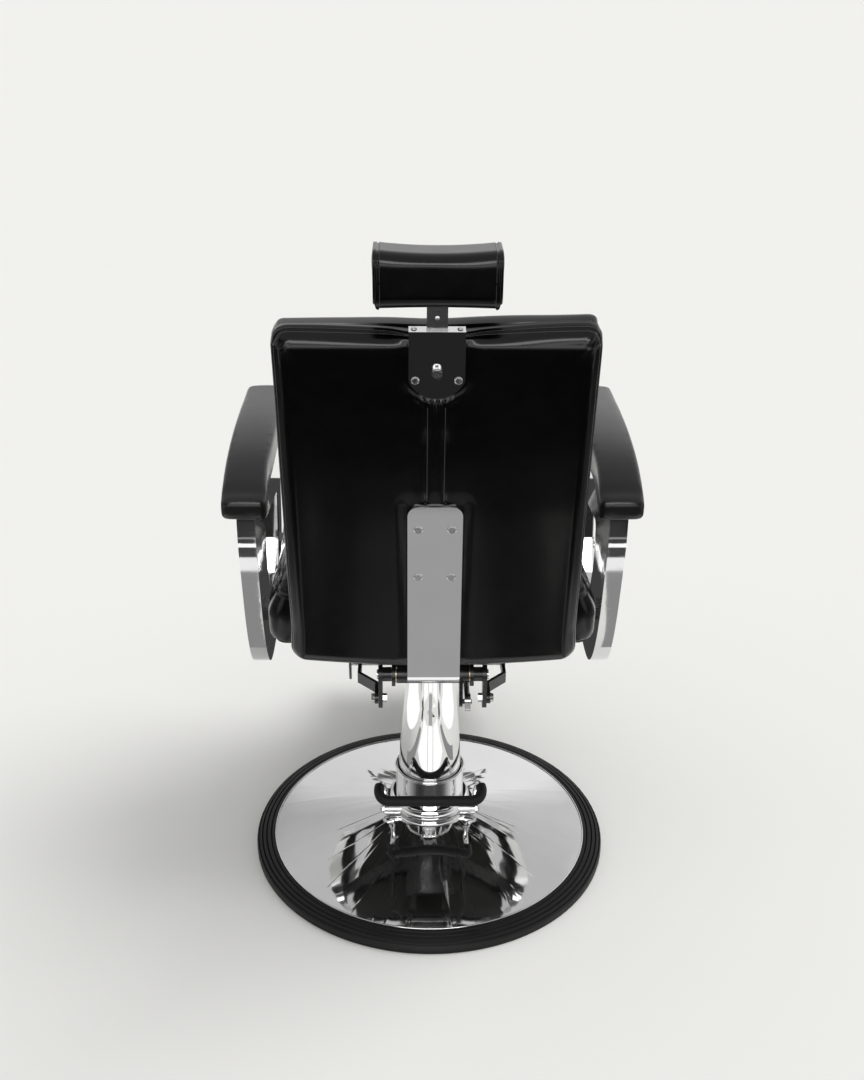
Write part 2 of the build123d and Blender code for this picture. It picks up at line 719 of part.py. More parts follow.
with BuildPart() as back_screws:
    with BuildSketch(BACK.offset(0.2)):
        with Locations((0, up_back(732.5))):
            with GridLocations(51, up_back(774) - up_back(691), 2, 2):
                Circle(7.2)
    extrude(amount=3, taper=35)
    with BuildSketch(BACK.offset(0.2)):
        with Locations((0, up_back(732.5))):
            with GridLocations(51, up_back(774) - up_back(691), 2, 2):
                Circle(3)
    extrude(amount=-18)
    with BuildSketch(BACK.offset(-0.8)):
        with Locations((-31, up_back(1016)), (31, up_back(1016))):
            Circle(6)
    extrude(amount=2.6, taper=35)
    with BuildSketch(BACK.offset(-0.8)):
        with Locations((-31, up_back(1016)), (31, up_back(1016))):
            Circle(2.5)
    extrude(amount=-16)
    with BuildSketch(FLANGE):
        with Locations((-33, 0), (33, 0)):
            Circle(5)
    extrude(amount=2.2, taper=35)
back_screws.part.label = "back_screws"
export_step(back_screws.part, "parts/back_screws.step")

with BuildPart() as back_board:
    with BuildSketch(back_plane(SKIN)):
        with Locations((0, 285)):
            RectangleRounded(430, 530, 20)
        with Locations((0, 450)):
            Rectangle(40.6, 230, mode=Mode.SUBTRACT)
    extrude(amount=-15)
    with BuildSketch(BACK):
        with Locations((0, up_back(732.5))):
            with GridLocations(51, up_back(774) - up_back(691), 2, 2):
                Circle(3)
        with Locations((-31, up_back(1016)), (31, up_back(1016))):
            Circle(2.5)
    extrude(amount=-18, mode=Mode.SUBTRACT)
back_board.part.label = "back_board"
export_step(back_board.part, "parts/back_board.step")

with BuildPart() as back_cushion:
    with BuildSketch(back_plane(SKIN)) as back_face:
        with BuildLine():
            ThreePointArc((-228, 12), (0, -1), (228, 12))
            Line((228, 12), (226, 62))
            Line((226, 62), (236.5, 571))
            Line((236.5, 571), (-236.5, 571))
            Line((-236.5, 571), (-226, 62))
            Line((-226, 62), (-228, 12))
        make_face()
        fillet(back_face.vertices().group_by(Axis.Y)[-1], 16)
        fillet(back_face.vertices().group_by(Axis.Y)[0], 22)
    extrude(amount=-BACK_T)
    fillet(back_cushion.faces().sort_by(Axis.Y)[0].edges(), 16)
    with BuildSketch(back_plane(SKIN)):
        with Locations((0, 285)):
            RectangleRounded(430.4, 530.4, 20.2)
        with Locations((0, 556)):
            Rectangle(41, 40)
    extrude(amount=-16.4, mode=Mode.SUBTRACT)
    with BuildSketch(back_plane(SKIN + 15)):
        with Locations((0, up_back(732.5))):
            with GridLocations(51, up_back(774) - up_back(691), 2, 2):
                Circle(3.3)
    extrude(amount=-6, mode=Mode.SUBTRACT)
back_cushion.part.label = "back_cushion"
export_step(back_cushion.part, "parts/back_cushion.step")

with BuildPart() as headrest_bracket:
    with BuildSketch(back_plane(SKIN)) as plate_face:
        with BuildLine():
            ThreePointArc(
                (-HEAD_W / 2, up_back(HEAD_ARC)), (0, up_back(HEAD_LOW)),
                (HEAD_W / 2, up_back(HEAD_ARC)),
            )
            Line((HEAD_W / 2, up_back(HEAD_ARC)), (HEAD_W / 2, up_back(HEAD_TOP)))
            Line((HEAD_W / 2, up_back(HEAD_TOP)), (-HEAD_W / 2, up_back(HEAD_TOP)))
            Line((-HEAD_W / 2, up_back(HEAD_TOP)), (-HEAD_W / 2, up_back(HEAD_ARC)))
        make_face()
        fillet(plate_face.vertices().group_by(Axis.Y)[0], 10)
    extrude(amount=4)
    with BuildSketch(back_plane(27)):
        with Locations((0, up_back(HEAD_TOP) - 1.75)):
            Rectangle(HEAD_W, 3.5)
    extrude(amount=26)
    fillet(headrest_bracket.edges().filter_by(Axis.X).group_by(Axis.Z)[-1].sort_by(Axis.Y)[-1], 3)
    with BuildSketch(BACK):
        with Locations((0, up_back(KNOB_Z))):
            Circle(8)
    extrude(amount=KNOB_OUT)
    with BuildSketch(BACK.offset(-2)):
        with Locations((0, up_back(KNOB_Z))):
            Circle(8)
    extrude(amount=3)
    with BuildSketch(BACK.offset(10)):
        with Locations((0, up_back(KNOB_Z))):
            Circle(3.5 + RUN)
    extrude(amount=-20, mode=Mode.SUBTRACT)
    with BuildSketch(BACK):
        with Locations((-31, up_back(1016)), (31, up_back(1016))):
            Circle(2.6)
    extrude(amount=-8, mode=Mode.SUBTRACT)
    with BuildSketch(back_plane(BAR_IN + BAR_T + 0.4)):
        with Locations((0, up_back(HEAD_TOP))):
            Rectangle(BAR_W + 0.8, 30)
    extrude(amount=BAR_T + 0.8, mode=Mode.SUBTRACT)
headrest_bracket.part.label = "headrest_bracket"
export_step(headrest_bracket.part, "parts/headrest_bracket.step")

with BuildPart() as headrest_guide:
    with BuildSketch(back_plane(SKIN)):
        with Locations((0, up_back((GUIDE_LOW + 1080) / 2))):
            Rectangle(40, 1080 - GUIDE_LOW)
    extrude(amount=-16)
    with BuildSketch(back_plane(BAR_IN - RUN)):
        with Locations((0, up_back((GUIDE_LOW + 1080) / 2))):
            Rectangle(BAR_W + 2 * RUN, 200)
    extrude(amount=-BAR_T - 2 * RUN, mode=Mode.SUBTRACT)
    with BuildSketch(BACK):
        with Locations((0, up_back(KNOB_Z))):
            Circle(3.5 + RUN)
    extrude(amount=-BAR_IN, mode=Mode.SUBTRACT)
headrest_guide.part.label = "headrest_guide"
export_step(headrest_guide.part, "parts/headrest_guide.step")

with BuildPart() as index_plunger:
    with BuildSketch(BACK.offset(-10.4)):
        with Locations((0, up_back(KNOB_Z))):
            Circle(3.5)
    extrude(amount=KNOB_OUT + 12)
    with BuildSketch(BACK.offset(KNOB_OUT + 0.3)):
        with Locations((0, up_back(KNOB_Z))):
            Circle(8)
    extrude(amount=5)
    with BuildSketch(BACK.offset(KNOB_OUT + 5.3)):
        with Locations((0, up_back(KNOB_Z))):
            Circle(6.5)
    extrude(amount=3, taper=12)
index_plunger.part.label = "index_plunger"
export_step(index_plunger.part, "parts/index_plunger.step")

# ---------------------------------------------------------------- headrest

with BuildPart() as headrest_bar:
    with BuildSketch(back_plane(BAR_IN)):
        with Locations((0, up_back(1040))):
            Rectangle(BAR_W, 300)
    extrude(amount=-BAR_T)
    with BuildSketch(back_plane(BAR_IN)):
        with Locations((0, up_back(KNOB_Z - 32))):
            SlotOverall(150, 8, rotation=90)
    extrude(amount=-3, mode=Mode.SUBTRACT)
    with BuildSketch(BACK):
        with Locations((0, up_back(1107))):
            Circle(3.2)
    extrude(amount=-20, mode=Mode.SUBTRACT)
headrest_bar.part.label = "headrest_bar"
export_step(headrest_bar.part, "parts/headrest_bar.step")

with BuildPart() as headrest_pad:
    with Locations((0, 246.5, 1162)):
        Box(184, 83, 82)
    fillet(headrest_pad.edges().filter_by(Axis.X), 18)
    fillet(headrest_pad.edges().group_by(Axis.X)[0], 8)
    fillet(headrest_pad.edges().group_by(Axis.X)[-1], 8)
    with BuildSketch(back_plane(BAR_IN - 0.2)):
        with Locations((0, up_back(1040))):
            Rectangle(BAR_W + 0.4, 300.4)
    extrude(amount=-BAR_T - 0.4, mode=Mode.SUBTRACT)
headrest_pad.part.label = "headrest_pad"
export_step(headrest_pad.part, "parts/headrest_pad.step")

# ---------------------------------------------------------------- links

for side, name in ((1, "left"), (-1, "right")):
    with BuildPart() as footrest_link:
        with BuildSketch(Plane.XY.offset(380)):
            Polygon(
                (side * 91, 200), (side * 97, 200), (side * 97, 146), (side * 128, 112),
                (side * 128, -340), (side * 122, -340), (side * 122, 110), (side * 91, 144),
                align=None,
            )
        extrude(amount=80)
        with BuildSketch(Plane.YZ):
            with Locations(LINK_REAR):
                Circle(10)
            with Locations(LINK_FRONT):
                Circle(10)
            make_hull()
        extrude(amount=side * 140, mode=Mode.INTERSECT)
        with BuildSketch(Plane.YZ):
            with Locations(LINK_REAR):
                Circle(5 + RUN)
            with Locations(LINK_FRONT):
                Circle(5.3)
        extrude(amount=side * 140, mode=Mode.SUBTRACT)
    footrest_link.part.label = "footrest_link_" + name
    export_step(footrest_link.part, "parts/footrest_link_" + name + ".step")

# ---------------------------------------------------------------- footrest

for side, name in ((1, "left"), (-1, "right")):
    with BuildPart() as footrest_bar:
        with BuildSketch(Plane.YZ.offset(side * FOOT_X)):
            with Locations(FOOT_PIVOT):
                Circle(15)
            with Locations(FOOT_END):
                Circle(11)
            make_hull()
        extrude(amount=side * FOOT_T)
        with BuildSketch(Plane.YZ):
            with Locations(FOOT_PIVOT):
                Circle(7)
        extrude(amount=side * 180, mode=Mode.SUBTRACT)
    footrest_bar.part.label = "footrest_bar_" + name
    export_step(footrest_bar.part, "parts/footrest_bar_" + name + ".step")

with BuildPart() as footrest_shaft:
    with BuildSketch(Plane.YZ):
        with Locations(FOOT_PIVOT):
            Circle(7)
    extrude(amount=172, both=True)
    for side in SIDES:
        with BuildSketch(Plane.YZ.offset(side * 129)):
            with Locations(FOOT_PIVOT):
                Circle(12)
            with Locations(LINK_FRONT):
                Circle(10)
            make_hull()
        extrude(amount=side * 6)
        with BuildSketch(Plane.YZ.offset(side * 130)):
            with Locations(LINK_FRONT):
                Circle(5)
        extrude(amount=-side * 10.5)
footrest_shaft.part.label = "footrest_shaft"
export_step(footrest_shaft.part, "parts/footrest_shaft.step")

DROP = math.degrees(math.atan2(FOOT_PIVOT[0] - FOOT_END[0], FOOT_PIVOT[1] - FOOT_END[1]))
DROP_SIN = math.sin(math.radians(DROP))
DROP_COS = math.cos(math.radians(DROP))
LEG = Plane(
    origin=(0, FOOT_PIVOT[0], FOOT_PIVOT[1]),
    x_dir=(1, 0, 0),
    z_dir=(0, -DROP_COS, DROP_SIN),
)

with BuildPart() as leg_straps:
    with BuildSketch(LEG.offset(-4)):
        with Locations((0, -70), (0, -230)):
            Rectangle(2 * FOOT_X, 25)
    extrude(amount=6)
leg_straps.part.label = "leg_straps"
export_step(leg_straps.part, "parts/leg_straps.step")

with BuildPart() as leg_board:
    with BuildSketch(LEG.offset(2)):
        with Locations((0, -150)):
            RectangleRounded(286, 226, 12)
    extrude(amount=8)
leg_board.part.label = "leg_board"
export_step(leg_board.part, "parts/leg_board.step")

with BuildPart() as leg_pad:
    with BuildSketch(LEG.offset(10)):
        with Locations((0, -150)):
            RectangleRounded(304, 240, 18)
    extrude(amount=46)
    fillet(leg_pad.faces().sort_by(Axis.Y)[0].edges(), 16)
leg_pad.part.label = "leg_pad"
export_step(leg_pad.part, "parts/leg_pad.step")

with BuildPart() as foot_plate:
    with Locations((0, -456, 152)):
        Box(2 * FOOT_X, 148, 4)
    with Locations((0, -528, 160)):
        Box(2 * FOOT_X, 4, 20)
    for side in SIDES:
        with Locations((side * (FOOT_X - 2), -456, 160)):
            Box(4, 148, 20)
foot_plate.part.label = "foot_plate"
export_step(foot_plate.part, "parts/foot_plate.step")

with BuildPart() as foot_tread:
    with Locations((0, -456, 155.5)):
        Box(2 * FOOT_X - 10, 138, 3)
    for rib in range(11):
        with Locations((0, -456 - 60 + 12 * rib, 157.6)):
            Box(2 * FOOT_X - 22, 5, 1.6)
foot_tread.part.label = "foot_tread"
export_step(foot_tread.part, "parts/foot_tread.step")
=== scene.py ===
import json
import math
import bmesh
import bpy
import numpy as np
from mathutils import Matrix, Vector
from mathutils.bvhtree import BVHTree


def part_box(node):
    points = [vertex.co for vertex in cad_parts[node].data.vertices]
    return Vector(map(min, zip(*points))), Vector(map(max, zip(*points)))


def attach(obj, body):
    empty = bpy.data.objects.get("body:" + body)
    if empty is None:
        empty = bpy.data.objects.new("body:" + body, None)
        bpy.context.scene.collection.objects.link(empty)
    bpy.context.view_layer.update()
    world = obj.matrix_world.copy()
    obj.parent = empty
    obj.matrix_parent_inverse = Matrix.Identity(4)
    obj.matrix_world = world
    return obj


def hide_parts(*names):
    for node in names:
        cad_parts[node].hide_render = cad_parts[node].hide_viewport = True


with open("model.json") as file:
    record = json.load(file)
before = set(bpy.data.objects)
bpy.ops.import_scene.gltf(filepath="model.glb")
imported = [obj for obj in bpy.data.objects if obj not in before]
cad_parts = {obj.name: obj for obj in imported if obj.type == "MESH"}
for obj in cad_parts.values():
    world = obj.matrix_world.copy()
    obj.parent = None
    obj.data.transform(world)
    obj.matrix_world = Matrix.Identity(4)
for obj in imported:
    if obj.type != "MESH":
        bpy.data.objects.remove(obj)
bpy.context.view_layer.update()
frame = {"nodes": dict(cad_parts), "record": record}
nodes = frame["nodes"]
scene = bpy.context.scene

MM = 0.001
LEAN = math.radians(3.5)
BACK_ORIGIN = np.array((0.0, 0.245, 0.515))
BACK_UP = np.array((0.0, math.sin(LEAN), math.cos(LEAN)))
BACK_OUT = np.array((0.0, math.cos(LEAN), -math.sin(LEAN)))

# ------------------------------------------------------------------ camera, floor and light


def look(location, forward, roll_degrees):
    """A camera matrix from where it stands, the way it looks and its roll."""
    back = -Vector(forward).normalized()
    right = Vector((0, 0, 1)).cross(back).normalized()
    up = back.cross(right)
    turn = Matrix.Rotation(math.radians(roll_degrees), 4, "Z")
    axes = Matrix((right, up, back)).transposed().to_4x4()
    return Matrix.Translation(location) @ axes @ turn


camera_data = bpy.data.cameras.new("camera")
camera_data.lens = 45.04
camera_data.sensor_width = 36.0
camera_data.sensor_fit = "AUTO"
camera = bpy.data.objects.new("camera", camera_data)
scene.collection.objects.link(camera)
camera.matrix_world = look((0.0417, 2.1136, 1.6470), (-0.018, -0.9012, -0.433), 0.5)
scene.camera = camera
scene.view_settings.view_transform = "Standard"


def node_tree(material):
    """A material's tree, emptied down to its output and one principled shader."""
    material.use_nodes = True
    tree = material.node_tree
    tree.nodes.clear()
    output = tree.nodes.new("ShaderNodeOutputMaterial")
    shader = tree.nodes.new("ShaderNodeBsdfPrincipled")
    tree.links.new(shader.outputs[0], output.inputs[0])
    return tree, shader


def place(tree, scale=(1, 1, 1)):
    """Object coordinates in metres, stretched by a scale."""
    coords = tree.nodes.new("ShaderNodeTexCoord")
    mapping = tree.nodes.new("ShaderNodeMapping")
    mapping.inputs["Scale"].default_value = scale
    tree.links.new(coords.outputs["Object"], mapping.inputs["Vector"])
    return mapping.outputs["Vector"]


def noise(tree, where, scale, detail=3.0, rough=0.55):
    n = tree.nodes.new("ShaderNodeTexNoise")
    n.inputs["Scale"].default_value = scale
    n.inputs["Detail"].default_value = detail
    n.inputs["Roughness"].default_value = rough
    tree.links.new(where, n.inputs["Vector"])
    return n.outputs["Fac"]


def cells(tree, where, scale):
    v = tree.nodes.new("ShaderNodeTexVoronoi")
    v.inputs["Scale"].default_value = scale
    tree.links.new(where, v.inputs["Vector"])
    return v.outputs["Distance"]


def remap(tree, value, low, high, from_low=0.0, from_high=1.0):
    m = tree.nodes.new("ShaderNodeMapRange")
    m.inputs["From Min"].default_value = from_low
    m.inputs["From Max"].default_value = from_high
    m.inputs["To Min"].default_value = low
    m.inputs["To Max"].default_value = high
    tree.links.new(value, m.inputs["Value"])
    return m.outputs["Result"]


def ramp(tree, value, stops):
    r = tree.nodes.new("ShaderNodeValToRGB")
    while len(r.color_ramp.elements) < len(stops):
        r.color_ramp.elements.new(0.5)
    for element, (position, colour) in zip(r.color_ramp.elements, stops):
        element.position = position
        element.color = (*colour, 1.0)
    tree.links.new(value, r.inputs["Fac"])
    return r.outputs["Color"]


def bump(tree, height, distance, strength=1.0, under=None):
    b = tree.nodes.new("ShaderNodeBump")
    b.inputs["Strength"].default_value = strength
    b.inputs["Distance"].default_value = distance
    tree.links.new(height, b.inputs["Height"])
    if under is not None:
        tree.links.new(under, b.inputs["Normal"])
    return b.outputs["Normal"]


def grey(value):
    return (value, value, value)


def chrome(name, base, rough, smear):
    """Polished plate: faint haze, wiping marks and pinpoint pits."""
    m = bpy.data.materials.new(name)
    tree, s = node_tree(m)
    where = place(tree)
    s.inputs["Metallic"].default_value = 1.0
    haze = noise(tree, where, 14.0, 4.0)
    tint = ramp(tree, haze, ((0.3, grey(base - 0.03)), (0.75, grey(base))))
    tree.links.new(tint, s.inputs["Base Color"])
    wipe = noise(tree, place(tree, (3, 3, 26)), 9.0, 5.0)
    tree.links.new(remap(tree, wipe, rough, rough + smear, 0.45, 0.8), s.inputs["Roughness"])
    pits = bump(tree, noise(tree, where, 900.0, 2.0), 0.00001, 0.35)
    waves = bump(tree, noise(tree, where, 22.0, 1.0), 0.00008, 0.3, pits)
    tree.links.new(waves, s.inputs["Normal"])
    return m


def spun_dome(name):
    """Pressed and plated sheet: shallow swells and thin creases that run out from the middle."""
    m = chrome(name, 0.8, 0.045, 0.05)
    tree = m.node_tree
    s = next(n for n in tree.nodes if n.type == "BSDF_PRINCIPLED")
    under = s.inputs["Normal"].links[0].from_socket
    flat = tree.nodes.new("ShaderNodeVectorMath")
    flat.operation = "MULTIPLY"
    flat.inputs[1].default_value = (1, 1, 0)
    tree.links.new(place(tree), flat.inputs[0])
    spoke = tree.nodes.new("ShaderNodeVectorMath")
    spoke.operation = "NORMALIZE"
    tree.links.new(flat.outputs[0], spoke.inputs[0])
    wander = tree.nodes.new("ShaderNodeVectorMath")
    wander.operation = "MULTIPLY_ADD"
    wander.inputs[1].default_value = (0.5, 0.5, 0.0)
    tree.links.new(flat.outputs[0], wander.inputs[0])
    tree.links.new(spoke.outputs[0], wander.inputs[2])
    swells = noise(tree, wander.outputs[0], 5.0, 1.0, 0.35)
    rolled = bump(tree, swells, 0.0026, 0.3, under)
    creases = ramp(tree, noise(tree, wander.outputs[0], 2.1, 1.0, 0.5), (
        (0.0, (0, 0, 0)), (0.42, (0, 0, 0)), (0.43, (1, 1, 1)), (0.44, (0, 0, 0)), (0.53, (0, 0, 0)),
        (0.54, (1, 1, 1)), (0.55, (0, 0, 0)),
    ))
    tree.links.new(bump(tree, creases, 0.0003, 0.25, rolled), s.inputs["Normal"])
    return m


def vinyl(name, base=0.0012, gloss=0.22, grain=620.0, depth=0.00006, coat=0.3):
    """Coated cloth: fine pebble grain, soft creases and slightly uneven gloss."""
    m = bpy.data.materials.new(name)
    tree, s = node_tree(m)
    where = place(tree)
    patch = noise(tree, where, 7.0, 4.0)
    tint = ramp(tree, patch, ((0.25, grey(base * 0.7)), (0.8, grey(base * 1.5))))
    tree.links.new(tint, s.inputs["Base Color"])
    scuff = noise(tree, where, 38.0, 5.0, 0.65)
    tree.links.new(remap(tree, scuff, gloss - 0.02, gloss + 0.04, 0.35, 0.75), s.inputs["Roughness"])
    s.inputs["Specular IOR Level"].default_value = 0.28
    s.inputs["Coat Weight"].default_value = coat
    s.inputs["Coat Roughness"].default_value = 0.1
    s.inputs["Coat IOR"].default_value = 1.4
    pebble = bump(tree, cells(tree, where, grain), depth, 0.35)
    crease = bump(tree, noise(tree, where, 26.0, 3.0), 0.0006, 0.07, pebble)
    tree.links.new(crease, s.inputs["Normal"])
    return m


def rubber(name, base=0.01, rough=0.62, grain=700.0):
    """Moulded rubber: dusty variation and a fine cast texture."""
    m = bpy.data.materials.new(name)
    tree, s = node_tree(m)
    where = place(tree)
    dust = noise(tree, where, 16.0, 6.0, 0.7)
    tint = ramp(tree, dust, ((0.3, grey(base * 0.75)), (0.75, grey(base * 1.45))))
    tree.links.new(tint, s.inputs["Base Color"])
    tree.links.new(remap(tree, dust, rough - 0.08, rough + 0.12, 0.3, 0.75), s.inputs["Roughness"])
    s.inputs["Specular IOR Level"].default_value = 0.3
    tree.links.new(bump(tree, noise(tree, where, grain, 3.0), 0.00012, 0.5), s.inputs["Normal"])
    return m


def metal(name, base, rough, stretch=(1, 1, 1), tint=(1, 1, 1)):
    """Bare machined or drawn metal with directional fine lines."""
    m = bpy.data.materials.new(name)
    tree, s = node_tree(m)
    s.inputs["Metallic"].default_value = 1.0
    lines = noise(tree, place(tree, stretch), 260.0, 4.0, 0.6)
    low = tuple(base * 0.85 * c for c in tint)
    high = tuple(base * c for c in tint)
    tree.links.new(ramp(tree, lines, ((0.3, low), (0.7, high))), s.inputs["Base Color"])
    tree.links.new(remap(tree, lines, rough - 0.05, rough + 0.1, 0.3, 0.7), s.inputs["Roughness"])
    tree.links.new(bump(tree, lines, 0.00003, 0.4), s.inputs["Normal"])
    return m


def enamel(name, base=0.012, rough=0.28):
    """Black stove enamel: orange peel and faint scuffs."""
    m = bpy.data.materials.new(name)
    tree, s = node_tree(m)
    where = place(tree)
    scuff = noise(tree, where, 60.0, 6.0, 0.7)
    tint = ramp(tree, scuff, ((0.3, grey(base)), (0.8, grey(base * 2.2))))
    tree.links.new(tint, s.inputs["Base Color"])
    tree.links.new(remap(tree, scuff, rough - 0.06, rough + 0.15, 0.35, 0.75), s.inputs["Roughness"])
    tree.links.new(bump(tree, noise(tree, where, 420.0, 2.0), 0.00006, 0.35), s.inputs["Normal"])
    return m


def cast(name, base=0.03):
    """Painted sand casting."""
    m = bpy.data.materials.new(name)
    tree, s = node_tree(m)
    where = place(tree)
    lumps = noise(tree, where, 240.0, 5.0, 0.7)
    tint = ramp(tree, lumps, ((0.3, grey(base * 0.6)), (0.8, grey(base * 1.6))))
    tree.links.new(tint, s.inputs["Base Color"])
    s.inputs["Roughness"].default_value = 0.6
    tree.links.new(bump(tree, lumps, 0.0006, 0.5), s.inputs["Normal"])
    return m


def plywood(name):
    """Plywood stained black, its grain still showing."""
    m = bpy.data.materials.new(name)
    tree, s = node_tree(m)
    rings = noise(tree, place(tree, (1, 14, 14)), 11.0, 6.0, 0.65)
    stain = ((0.25, grey(0.006)), (0.5, (0.013, 0.012, 0.011)), (0.8, (0.026, 0.023, 0.02)))
    tree.links.new(ramp(tree, rings, stain), s.inputs["Base Color"])
    s.inputs["Roughness"].default_value = 0.65
    tree.links.new(bump(tree, rings, 0.0002, 0.5), s.inputs["Normal"])
    return m


def thread(name, low=0.006, high=0.03):
    """Black bonded thread: a two-ply twist."""
    m = bpy.data.materials.new(name)
    tree, s = node_tree(m)
    twist = noise(tree, place(tree), 1800.0, 2.0)
    tree.links.new(ramp(tree, twist, ((0.3, grey(low)), (0.7, grey(high)))), s.inputs["Base Color"])
    s.inputs["Roughness"].default_value = 0.42
    s.inputs["Sheen Weight"].default_value = 0.3
    tree.links.new(bump(tree, twist, 0.0001, 0.6), s.inputs["Normal"])
    return m


MATERIALS = {
    "base_chrome": spun_dome("base_chrome"),
    "column_chrome": chrome("column_chrome", 0.9, 0.025, 0.02),
    "bracket_chrome": chrome("bracket_chrome", 0.8, 0.05, 0.03),
    "arm_chrome": chrome("arm_chrome", 0.88, 0.04, 0.04),
    "base_rubber": rubber("base_rubber", 0.006, 0.5),
    "pedal_rubber": rubber("pedal_rubber", 0.007, 0.6),
    "cast_iron": cast("cast_iron"),
    "zinc_fasteners": metal("zinc_fasteners", 0.72, 0.22),
    "ground_steel": metal("ground_steel", 0.66, 0.2, (1, 1, 18)),
    "pump_steel": metal("pump_steel", 0.5, 0.32, (1, 1, 24)),
    "pedal_steel": chrome("pedal_steel", 0.8, 0.06, 0.04),
    "frame_paint": enamel("frame_paint"),
    "bar_steel": metal("bar_steel", 0.26, 0.3, (12, 1, 1)),
    "bush_brass": metal("bush_brass", 0.62, 0.35, (1, 1, 1), (1.0, 0.78, 0.45)),
    "plywood": plywood("plywood"),
    "vinyl": vinyl("vinyl"),
    "arm_vinyl": vinyl("arm_vinyl", 0.012, 0.3, 520.0, 0.00006, 0.35),
    "foot_plate_metal": metal("foot_plate_metal", 0.6, 0.35, (14, 1, 1)),
}
THREAD = thread("thread", 0.02, 0.09)

slot_of = {s["node"]: s["material_slot"] for s in frame["record"]["subparts"]}
for name, node in nodes.items():
    node.data.materials.clear()
    node.data.materials.append(MATERIALS[slot_of[name]])


def stage_plane(name, size, location, rotation, colour, strength=None):
    """A flat stage piece: a diffuse floor, or a card that glossy surfaces alone can see."""
    mesh = bpy.data.meshes.new(name)
    x, y = size[0] / 2, size[1] / 2
    mesh.from_pydata([(-x, -y, 0), (x, -y, 0), (x, y, 0), (-x, y, 0)], [], [(0, 1, 2, 3)])
    o = bpy.data.objects.new(name, mesh)
    scene.collection.objects.link(o)
    o.location = location
    o.rotation_euler = rotation
    m = bpy.data.materials.new(name)
    tree, s = node_tree(m)
    s.inputs["Base Color"].default_value = (*colour, 1)
    s.inputs["Roughness"].default_value = 0.9
    s.inputs["Specular IOR Level"].default_value = 0.0
    if strength is not None:
        s.inputs["Base Color"].default_value = (0, 0, 0, 1)
        s.inputs["Emission Color"].default_value = (*colour, 1)
        s.inputs["Emission Strength"].default_value = strength
        o.visible_camera = False
        o.visible_diffuse = False
        o.visible_shadow = False
    mesh.materials.append(m)
    return o


stage_plane("floor", (80, 80), (0, 0, 0), (0, 0, 0), (0.86, 0.856, 0.832))


CARD_LIFT = 0.004
CARD_OVERLAP = 0.001


def floor_card(name, corners, strength, lift=0.0):
    """A patch of floor, drawn by its four corners, that only mirrors see."""
    card = stage_plane(name, (1, 1), (0, 0, CARD_LIFT), (0, 0, 0), grey(1.0), strength)
    for vertex, (x, y) in zip(card.data.vertices, corners):
        vertex.co = (x, y, lift)


def floor_patch(name, x, y, strength):
    """A rectangular floor card."""
    floor_card(name, ((x[0], y[0]), (x[1], y[0]), (x[1], y[1]), (x[0], y[1])), strength)


def floor_strip(name, x, y, strength):
    """The same strip of floor card on both sides of the chair."""
    for side in (-1, 1):
        floor_patch(name, sorted((side * x[0], side * x[1])), y, strength)


floor_patch("card_far", (-4.0, 4.0), (1.60, 9.0), 0.02)
floor_patch("card_plate", (-0.16, 0.16), (0.82, 1.62), 0.4)
floor_patch("card_front", (-1.2, 1.2), (-1.75, -0.65), 0.05)
floor_patch("card_neck", (-0.09, 0.09), (0.70, 0.82), 0.4)
floor_strip("card_side", (1.1, 2.4), (-3.0, 0.93), 0.2)
floor_strip("card_side", (2.4, 9.0), (-3.0, 0.93), 0.07)
floor_strip("card_dark", (0.16, 0.30), (0.82, 1.60), 0.02)
floor_strip("card_outer", (0.56, 2.2), (0.93, 1.60), 0.02)
floor_strip("card_white", (0.56, 1.3), (-0.3, 0.93), 1.15)
floor_strip("card_white", (0.0, 0.335), (0.335, 0.70), 1.15)

# Bands of (start, end, strength) along the floor, which the rear edges of the arm frames mirror.
ARM_BANDS = (
    (0.0, 0.53, 0.27), (0.53, 0.60, 0.95), (0.60, 0.80, 0.06), (0.80, 0.93, 1.15),
    (0.93, 1.12, 0.05), (1.12, 1.2, 0.3), (1.2, 1.6, 0.04),
)
ARM_INSIDE, ARM_SLANT = 0.335, 0.075
NARROW_UNTIL, NARROW, WIDE = 0.9, 0.075, 0.1
LINE_EDGES = ((0.055, 0.35), (0.061, 0.35), (0.125, 0.70), (0.113, 0.70))
for side, shift in ((1, 0.0), (-1, 0.03)):
    floor_card("card_line", [(side * x, y) for x, y in LINE_EDGES], 0.02, CARD_OVERLAP)
    for near, far, strength in ARM_BANDS:
        left = [ARM_INSIDE + ARM_SLANT * y + shift for y in (near, far)]
        wide = NARROW if far < NARROW_UNTIL else WIDE
        edges = ((left[0], near), (left[0] + wide, near), (left[1] + wide, far), (left[1], far))
        floor_card("card_arm", [(side * x, y) for x, y in edges], strength, CARD_OVERLAP)

stage_plane("card_panel", (3.6, 1.2), (0.0, 4.6, 3.3), (math.radians(122), 0, 0), grey(1.0), 6.0)
stage_plane("card_wall", (4.4, 1.0), (0.0, 5.2, 1.75), (math.radians(95), 0, 0), grey(1.0), 2.6)

